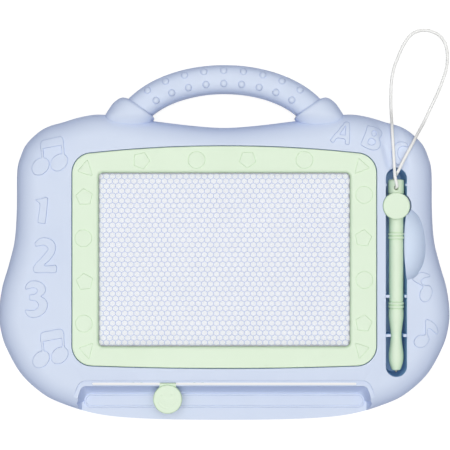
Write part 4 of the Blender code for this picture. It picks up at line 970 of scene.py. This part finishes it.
def union_outline(shapes):
    """The outer and inner loops of several overlapping flat loops."""
    points = [Vector(point) for shape in shapes for point in shape]
    found = delaunay_2d_cdt(points, sides_of(shapes), [], 0, 1e-5)
    flat = np.array([tuple(point) for point in found[0]])
    faces = np.array(found[2])
    middles = flat[faces].mean(1)
    kept = faces[np.any([inside(middles, [shape]) for shape in shapes], 0)]
    sides = dict.fromkeys((face[index], face[(index + 1) % 3])
                          for face in kept for index in range(3))
    border = {a: b for a, b in sides if (b, a) not in sides}
    loops = []
    while border:
        first, step = border.popitem()
        loop = [first]
        while step != first:
            loop.append(step)
            step = border.pop(step)
        loops.append(flat[loop])
    return sorted(loops, key=lambda loop: -abs(area(loop)))


def soft_outline(points):
    """A smooth outline from pixels of the photograph."""
    return evenly(spline(from_photo(points), 6, True), pitch=0.6, closed=True)


def figures():
    """The outlines of all the raised figures on the case."""
    made = [[soft_outline(points)]
            for points in (ONE, TWO, THREE, LETTER_C, NOTE_ONE, NOTE_TWO)]
    made.append([soft_outline(LETTER_A), evenly(from_photo(HOLE_A), pitch=0.5, closed=True)])
    made.append([soft_outline(points) for points in (LETTER_B, HOLE_B1, HOLE_B2)])
    for heads, parts in (PAIR_TOP, PAIR_LOW):
        shapes = []
        for x, y, long, short in heads:
            loop = circle(0, 0, (long, short), 72)
            turn = math.sqrt(0.5)
            shapes.append(np.stack([x + turn * (loop[:, 0] + loop[:, 1]),
                                    y + turn * (loop[:, 1] - loop[:, 0])], 1))
        for number, points in enumerate(parts):
            loop = spline(points, 6, True) if number == 2 else np.array(points, float)
            shapes.append(evenly(loop, pitch=0.8, closed=True))
        loops = union_outline([facing(from_photo(shape), 1) for shape in shapes])
        made.append([evenly(loop, pitch=0.55, closed=True) for loop in loops])
    return made


def case_body(name):
    """The outer form of the case with its handle."""
    grid = lattice((104, 40), (145, 92), 1.0)
    shell = item_from(name, plate([OUTLINE], case_profile(0, 8, 16), dish_at, grid))
    return join(shell, sweep(handle_path(math.radians(22), 90), [handle_radii(48)] * 90, 48),
                collar(-1), collar(1), handle_dots())


def hollow():
    """The space inside the case's walls, with the handle's bore."""
    space = item_from("space", plate([OUTLINE[::3]], case_profile(WALL, 2, 4)))
    return join(space, sweep(handle_path(math.radians(9), 40), HANDLE_RADIUS - WALL, 24))


def channel_ribs():
    """What stands in the channel: two notched ribs and two pips."""
    joined = []
    low, high, top = CHANNEL_FLOOR - 1, CASE_HEIGHT - 1.2, CASE_HEIGHT + 1
    for y, radius in ((-38.9, 5.5), (-67.4, 4.55)):
        rib = item_from("rib", block((CHANNEL_X - 9, y - 1, low), (CHANNEL_X + 9, y + 1, high)))
        notch = [(radius, top), (-radius, top), *arc(0, PEN_Z, radius, 180, 360, 24)]
        joined.append(combine(rib, lofted([[(PEN_X + x, y + end, z) for x, z in notch]
                                           for end in (-2, 2)])))
    pip = [(0, low), (1.2, low), (1.2, high - 0.4), (1.1, high - 0.15), (0.8, high), (0, high)]
    for side in (-1, 1):
        place = (CHANNEL_X + side * (CHANNEL_RADIUS + 0.3), 42.1, 0)
        joined.append(item_from("pip", turned(pip, 20, place)))
    return joined


def make_front():
    """The case's front half."""
    shell = case_body("case_front")
    join(shell, *(relief(loops, 1.4, FIGURE_SLOPE, face_height) for loops in figures()))
    walls = [(0, CHANNEL_FLOOR - 1.1), (0, CASE_HEIGHT)]
    space = combine(hollow(),
                    plate([frame_edge(2.5)], [(0, 18.8), (0, CASE_HEIGHT)]),
                    plate([screen_edge(5.5)], [(0, 14.7), (0, CASE_HEIGHT)]),
                    plate([stadium(WALL)], walls),
                    discs([(CHANNEL_X, DISC_Y)], 12.4, 16.8, CASE_HEIGHT, 48),
                    scoop(WALL),
                    tray_form(WALL),
                    plate([terrace_loop(WALL)], [(0, TERRACE_Z - WALL), (0, CASE_HEIGHT + 1)]),
                    discs(BOSSES, 3.4, BACK_DEPTH - 1, CASE_HEIGHT))
    below = item_from("below", block((-FAR, -FAR, -2), (FAR, FAR, BACK_DEPTH + PARTING / 2)))
    combine(below, plate([stadium(WALL)], walls))
    wall = [(2.3, CHANNEL_FLOOR), (1.6, CHANNEL_FLOOR + 0.3), (1.3, CHANNEL_FLOOR + 1.2)]
    channel = item_from("channel", plate([stadium()], wall + lipped(17.0, CASE_HEIGHT, 0.5)))
    combine(channel, *channel_ribs())
    half, low, high = SLOT
    combine(shell, below, space,
            plate([frame_edge(0.5)], lipped(FRAME_SEAT - 0.6, CASE_HEIGHT, 0.3)),
            plate([screen_edge(3.3)], [(0, 15.7), (0, FAR)]),
            plate([screen_edge()], [(0, BACK_DEPTH + 2), (0, FAR)]),
            channel,
            plate([circle(CHANNEL_X + 0.5, DISC_Y + 0.1, 10.4, 64)],
                  lipped(CASE_HEIGHT - 5, CASE_HEIGHT, 0.4)),
            scoop(0),
            plate([terrace_loop()], lipped(TERRACE_Z, CASE_HEIGHT, 0.5)),
            tray_form(0),
            plate([bowed(half, low, high, 0.6, steps=4)], [(-1.2, 16), (0, 21.8), (0, FAR)]),
            discs(BOSSES, 1.6, BACK_DEPTH, 18.7))
    x, y, z = 97.7, -116.1, TRAY_FLOOR - 0.45
    bead = [(*point, z) for side, turn in ((-x, 90), (x, -90))
            for point in arc(side, y, 4.5, turn, turn + 180, 16)]
    join(shell, sweep(bead, 0.95, 24, True))
    dress(shell, SHELL_BLUE, "case", "shell_blue", "front_shell")
    # Faces deep in the pen channel and in the groove round the frame take the darker blue as
    # painted shade.
    shell.data.materials.append(PAINTED_SHADE_BLUE)
    middles = np.array([face.center for face in shell.data.polygons]) / MM
    pit_shade = inside(middles[:, :2], [stadium(0.2)]) & (middles[:, 2] < CASE_HEIGHT - 2.5)
    groove_shade = inside(middles[:, :2], [frame_edge(0.75), frame_edge(-0.6)]) \
        & (middles[:, 2] < CASE_HEIGHT - 0.3) & (middles[:, 2] > FRAME_SEAT - 1)
    level = np.array([face.normal[2] for face in shell.data.polygons]) > 0.25
    pit_shade &= ~(level & (middles[:, 2] > CHANNEL_FLOOR + 3))
    for face, in_shade in zip(shell.data.polygons, pit_shade | groove_shade):
        face.material_index = int(in_shade)


def make_back():
    """The case's back half."""
    space = combine(hollow(), *(block((-88, y - 1, 0), (96, y + 1, 9.3)) for y in (54.0, -78.5)),
                    discs(BOSSES, 4.6, 0, BACK_DEPTH + 1))
    mouths = [bowed(98.9, -107.8, -102.8, 2.49, steps=8),
              *(circle(x, y, 3.3, 40) for x, y in BOSSES)]
    lip = [(-0.4, -1), (-0.4, 0), (-0.25, 0.06), (-0.1, 0.18), (0, 0.4), (0, 4)]
    shell = combine(case_body("case_back"),
                    block((-FAR, -FAR, BACK_DEPTH - PARTING / 2), (FAR, FAR, FAR)),
                    space,
                    discs(BOSSES, 1.6, -1, BACK_DEPTH + 1),
                    *(plate([mouth], lip) for mouth in mouths))
    dress(shell, SHELL_BLUE, "case", "shell_blue", "back_shell")


make_front()
make_back()


# The frame and the window

FRAME_TRIANGLES = (
    ((87.6, 158.9), (77.1, 171.5), (93.1, 176.5)),
    ((93.4, 342.5), (78.3, 347.8), (89.2, 359.8)),
    ((358.2, 157.5), (370.2, 168.1), (354.3, 174.2)),
    ((354.8, 342.4), (370.0, 347.5), (359.1, 359.5)),
)
FRAME_CIRCLES = (
    (196.6, 160), (304.4, 160), (83.4, 238.3), (83.9, 323.6), (364.1, 194.9), (364.3, 279.9),
)
FRAME_PENTAGONS = ((141.3, 160.7, -21), (247.6, 159.4, 36), (84.4, 197.2, 5), (84.7, 281.9, 6),
                   (363.2, 238.2, -7), (363.6, 323.4, -7))


def rounded(corners, radius, steps=6):
    """A flat loop with its corners rounded."""
    corners = facing(np.asarray(corners, float), 1)
    loop = []
    for last, here, after in zip(np.roll(corners, 1, 0), corners, np.roll(corners, -1, 0)):
        before, after = [(point - here) / np.linalg.norm(point - here) for point in (last, after)]
        half = math.acos(float(np.clip(np.dot(before, after), -1, 1))) / 2
        bisector = (before + after) / np.linalg.norm(before + after)
        centre = here + bisector * radius / math.sin(half)
        first, final = [math.atan2(*(here + way * radius / math.tan(half) - centre)[::-1])
                        for way in (before, after)]
        final = first + (final - first) % (2 * math.pi)
        loop += [*arc(*centre, radius, math.degrees(first), math.degrees(final), steps)]
    return np.array(loop)


def make_frame():
    """The green frame round the window, with its low raised shapes."""
    low, edge = FRAME_SEAT + 0.3, 0.8
    profile = [(0.25, low), (0, low + 0.25), *arc(edge, FRAME_TOP - edge, edge, 180, 90, 5)]
    item = item_from("green_frame", plate([frame_edge()], profile))
    combine(item, plate([screen_edge()], lipped(low - 2, FRAME_TOP, 2.2)))
    shapes = [rounded(from_photo(points), 0.7) for points in FRAME_TRIANGLES]
    shapes += [circle(*from_photo(place), 6.35, 64) for place in FRAME_CIRCLES]
    for *place, tilt in FRAME_PENTAGONS:
        shapes.append(rounded(arc(*from_photo(place), 6.6, 90 + tilt, 378 + tilt, 4), 0.9))
    join(item, *(relief([evenly(shape, pitch=0.6, closed=True)], 0.8, FRAME_SLOPE,
                        flat_at(FRAME_TOP)) for shape in shapes))
    pegs = [(side * 102.4, y) for side in (-1, 1) for y in (-43.9, 19.4)]
    pegs += [(side * 45.7, y) for side in (-1, 1) for y in (59.5, -83.8)]
    join(item, discs(pegs, 1.5, low - 3, low + 1))
    dress(item, FRAME_GREEN, "case", "frame_green", "screen_frame")


CELL_PITCH = 4.47
CELL_ROW = 3.57


def make_cells():
    """The layer of six-sided cells, with thin walls round the white fill."""
    low, high, fill = CELLS_LOW, CELLS_TOP, 19.55
    columns, rows = 42, 37
    form = bmesh.new()
    corner = corners_of(form, 3)
    half, tall, short = CELL_PITCH / 2, CELL_ROW * 2 / 3, CELL_ROW / 3
    shape = ((0, tall), (-half, short), (-half, -short), (0, -tall), (half, -short), (half, short))
    centre_y = (SCREEN_LOW + SCREEN_HIGH) / 2
    for row in range(rows):
        for column in range(columns):
            x = (column - (columns - 1) / 2 + row % 2 / 2 - 0.25) * CELL_PITCH
            y = centre_y + (row - (rows - 1) / 2) * CELL_ROW
            if abs(x) + half > 94.3 or abs(y - centre_y) + tall > 66.2:
                continue
            rings = [[corner(x + px * size, y + py * size, z) for px, py in shape]
                     for size, z in ((1.0, high), (0.90, high), (0.87, fill), (0.6, fill + 0.08))]
            for outer, inner in zip(rings, rings[1:]):
                for face in zip(outer, outer[1:] + outer[:1], inner[1:] + inner[:1], inner):
                    form.faces.new(face)
            form.faces.new(rings[-1])
    border = [edge for edge in form.edges if len(edge.link_faces) == 1]
    for part in bmesh.ops.extrude_edge_only(form, edges=border)["geom"]:
        if isinstance(part, bmesh.types.BMVert):
            part.co.z = low * MM
    border = [edge for edge in form.edges if len(edge.link_faces) == 1]
    bmesh.ops.contextual_create(form, geom=border)
    item = item_from("white_cells", form)
    dress(item, CELL_WALL, "case", "cell_white", "honeycomb_core", smooth=False)
    item.data.materials.append(CELL_FILL)
    for face in item.data.polygons:
        if low + 1 < face.center.z / MM < fill + 0.12:
            face.material_index = 1
    item.data.shade_flat()


def make_film():
    """The clear film over the cells."""
    low, high = FILM_LOW, FRAME_SEAT
    profile = [(0.1, low), (0, low + 0.1), (0, high - 0.1), (0.1, high)]
    dress(item_from("window_film", plate([screen_edge(2.9)], profile)), CLEAR_FILM, "case",
          "clear_film", "screen_film")


make_frame()
make_cells()
make_film()


# The eraser

def stroke(path, width):
    """A band of an even width along a path, with round ends."""
    ahead = np.gradient(path, axis=0)
    left = np.stack([-ahead[:, 1], ahead[:, 0]], 1) / np.linalg.norm(ahead, axis=1, keepdims=True)
    side = left * width / 2
    parts = []
    for end, sign in ((-1, 1), (0, -1)):
        base = math.degrees(math.atan2(-left[end][1] * sign, -left[end][0] * sign))
        parts.append((path - side * sign)[::sign])
        parts.append(arc(*path[end], width / 2, base, base + 180, 8)[1:-1])
    return np.concatenate(parts)


def make_knob():
    """The round knob with its simple smile, its hub, neck and tongue."""
    x, y = KNOB
    low, top = KNOB_LOW, KNOB_TOP
    profile = [(0, low - 5.5), (3.9, low - 5.5), (4.2, low - 5.3), (5.0, low), (9.8, low),
               (10.25, low + 0.12), (10.5, low + 0.5), (10.5, top - 1.2), (10.42, top - 0.75),
               (10.2, top - 0.36), (9.84, top - 0.1), (9.3, top), (0, top)]
    item = item_from("knob_disc", turned(profile, 96, (x, y, 0)))
    half, end = 5.9, -102.0
    face = [circle(x - 0.2 + side * 4.05, -110.2, 1.3, 32) for side in (-1, 1)]
    face.append(stroke(arc(x - 0.1, -113.5, 6.4, 192, 348, 27), 1.7))
    join(item, *(relief([loop], 0.6, KNOB_SLOPE, flat_at(top), 0.8) for loop in face),
         block((x - half, y, low), (x + half, end, low + 1.1)),
         block((x - half, end - 1.1, low - 6), (x + half, end, low + 0.9)))
    dress(item, FRAME_GREEN, "eraser", "frame_green", "eraser_knob")


make_knob()


# The pen

def lathe(name, points, steps, tail=PEN_TAIL):
    """A turned piece of the pen from (radius, distance from its tail)."""
    return item_from(name, turned([(radius, -along) for radius, along in points], steps,
                                  (PEN_X, tail, PEN_Z), True))


def make_pen():
    """The barrel, end cap, thumb disc and tip of the pen."""
    radius, start, length, grip = PEN_RADIUS, 10.6, PEN_LENGTH, 96.0
    points = [(3.5, start), (4.8, start), (5.08, start + 0.1), (radius, start + 0.4)]
    for middle in (41.15, 91.6):
        points += [(radius + raised, middle + across) for across, raised in PEN_RING]
        points += [(radius + raised, middle - across) for across, raised in PEN_RING[::-1]]
    points += [*spline([(width * radius, grip + along * (length - grip))
                        for along, width in PEN_GRIP], 8)]
    end = points.pop()[0]
    points += [(end - 0.12, length - 0.2), (end - 0.5, length), (1.3, length),
               (1.3, length - 5.9), (2.2, length - 5.9), (2.2, 15.4), (3.5, 15.4), (3.5, start)]
    barrel = lathe("pen_body", points, 64)
    combine(barrel, discs([(CHANNEL_X, DISC_Y)], 1.7, 19.4, 26))
    dress(barrel, FRAME_GREEN, "pen", "frame_green", "pen_barrel")

    edge = 5.7
    cap = lathe("pen_tail_cap", [
        (0, 0), (4.3, 0), (4.85, 0.08), (5.3, 0.32), (5.58, 0.75), (edge, 1.3), (edge, 9.7),
        (5.62, 10.0), (5.4, 10.3), (3.2, 10.3), (3.2, 15.1), (0, 15.1)], 64)
    hole = [(0, 8), (1.55, 8), (1.55, 22.2), (1.62, 22.6), (1.85, 22.95), (2.2, 23.3), (2.2, 26),
            (0, 26)]
    combine(cap, turned(hole, 32, (CHANNEL_X, CORD_HOLE_Y, 0)),
            ball((CHANNEL_X, CORD_HOLE_Y, PEN_Z), (3.3, 3.3, 3.3), 32, 20))
    dress(cap, FRAME_GREEN, "pen", "frame_green", "pen_end_cap")

    top = 25.0
    disc = [(0, top - 3.0), (9.3, top - 3.0), (9.7, top - 2.75), (9.8, top - 2.4),
            (9.8, top - 1.05), (9.73, top - 0.65), (9.48, top - 0.3), (9.07, top - 0.08),
            (8.55, top), (0, top)]
    disc = item_from("pen_disc", turned(disc, 96, (CHANNEL_X, DISC_Y + 0.1, 0)))
    combine(disc, sweep([(CHANNEL_X, DISC_Y + end, PEN_Z) for end in (-11, 11)], 6.0, 64))
    join(disc, discs([(CHANNEL_X, DISC_Y)], 1.4, 19.7, 24.2))
    dress(disc, FRAME_GREEN, "pen", "frame_green", "pen_thumb_disc")

    tip = lathe("pen_tip", [(0, 0), (0.9, 0), (1.0, 0.1), (1.0, 7.4), (0.9, 7.75), (0.6, 7.95),
                            (0, 8.0)], 32, PEN_TAIL - length + 6.2)
    dress(tip, TIP_METAL, "pen", "tip_metal", "pen_tip_magnet")


make_pen()


# Screws

def make_screws():
    """Pan-headed screws with a cross recess."""
    profile = [(0, -2.0), (1.6, -1.93), (2.3, -1.7), (2.75, -1.25), (2.96, -0.7), (3.0, -0.15),
               (2.9, 0.0), (1.05, 0.0)]
    for height in 12.6 - 0.88 * np.arange(13, -1, -1):
        profile += [(1.0, height - 0.7), (1.28, height - 0.35), (1.0, height)]
    profile += [(1.0, 12.9), (0.35, 14.0), (0, 14.0)]
    for number in range(1, 9):
        low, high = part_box(f"shell_screw_{number}")
        x, y, _ = (low + high) / 2 / MM
        screw = item_from(f"screw_{number}", turned(profile, 32, (x, y, SCREW_SINK)))
        combine(screw, *(block((x - across, y - along, SCREW_SINK - 3),
                               (x + across, y + along, SCREW_SINK - 0.9))
                         for across, along in ((1.55, 0.33), (0.33, 1.55))))
        dress(screw, SCREW_STEEL, "case", "screw_steel", f"shell_screw_{number}")


make_screws()

for node, material in (("panel_back_sheet", SHEET_WHITE), ("eraser_bar", FRAME_GREEN),
                       ("eraser_magnet", MAGNET), ("knob_pin_left", SCREW_STEEL),
                       ("knob_pin_right", SCREW_STEEL)):
    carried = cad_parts[node]
    carried.data.materials.clear()
    carried.data.materials.append(material)


# Floor, light and world

def make_floor():
    """A plain pale floor that keeps the object's shadow."""
    form = bmesh.new()
    bmesh.ops.create_grid(form, x_segments=1, y_segments=1, size=3.0)
    floor = item_from("floor", form)
    floor.location.z = -0.0002
    material = bpy.data.materials.new("floor_white")
    material.use_nodes = True
    tree = material.node_tree
    tree.nodes.clear()
    matt = add_node(tree, "BsdfDiffuse", {"Color": (0.26, 0.26, 0.26, 1.0)})
    level = add_node(tree, "Math", {0: seen_rays(tree), 1: 0.86}, operation="MULTIPLY")
    glow = add_node(tree, "Emission", {"Color": (1.0, 1.0, 1.0, 1.0), "Strength": level})
    both = add_node(tree, "AddShader", {0: matt, 1: glow})
    add_node(tree, "OutputMaterial", {"Surface": both})
    floor.data.materials.append(material)


def seen_rays(tree):
    """1 for rays that show the background to the camera, in gloss or through glass."""
    rays = tree.nodes.new("ShaderNodeLightPath").outputs
    last = rays["Is Camera Ray"]
    for name in ("Is Glossy Ray", "Is Transmission Ray"):
        last = add_node(tree, "Math", {0: last, 1: rays[name]}, operation="MAXIMUM")
    return last


def make_light():
    """Soft boxes above and an even, weaker light all round."""
    world = bpy.data.worlds.new("studio")
    bpy.context.scene.world = world
    world.use_nodes = True
    tree = world.node_tree
    level = add_node(tree, "MapRange", {"Value": seen_rays(tree), "To Min": 0.13, "To Max": 1.0})
    plug(tree, tree.nodes["Background"], {"Color": (1.0, 1.0, 1.0, 1.0), "Strength": level})
    for name, place, size, power in (("box_over", (-0.08, 0.04, 2.0), 1.8, 30.8),
                                     ("box_left", (-1.2, 0.3, 1.4), 0.8, 1.2),
                                     ("box_right", (1.2, 0.3, 1.4), 0.8, 2.0),
                                     ("box_front", (0.0, -1.4, 1.0), 0.8, 5.7),
                                     ("box_back", (0.0, 1.4, 1.0), 0.8, 4.3)):
        data = bpy.data.lights.new(name, "AREA")
        data.shape = "SQUARE"
        data.size = size
        data.energy = power
        lamp = bpy.data.objects.new(name, data)
        lamp.location = place
        lamp.rotation_euler = (-Vector(place)).to_track_quat("-Z", "Y").to_euler()
        bpy.context.scene.collection.objects.link(lamp)


make_floor()
make_light()
bpy.context.scene.view_settings.view_transform = "Standard"
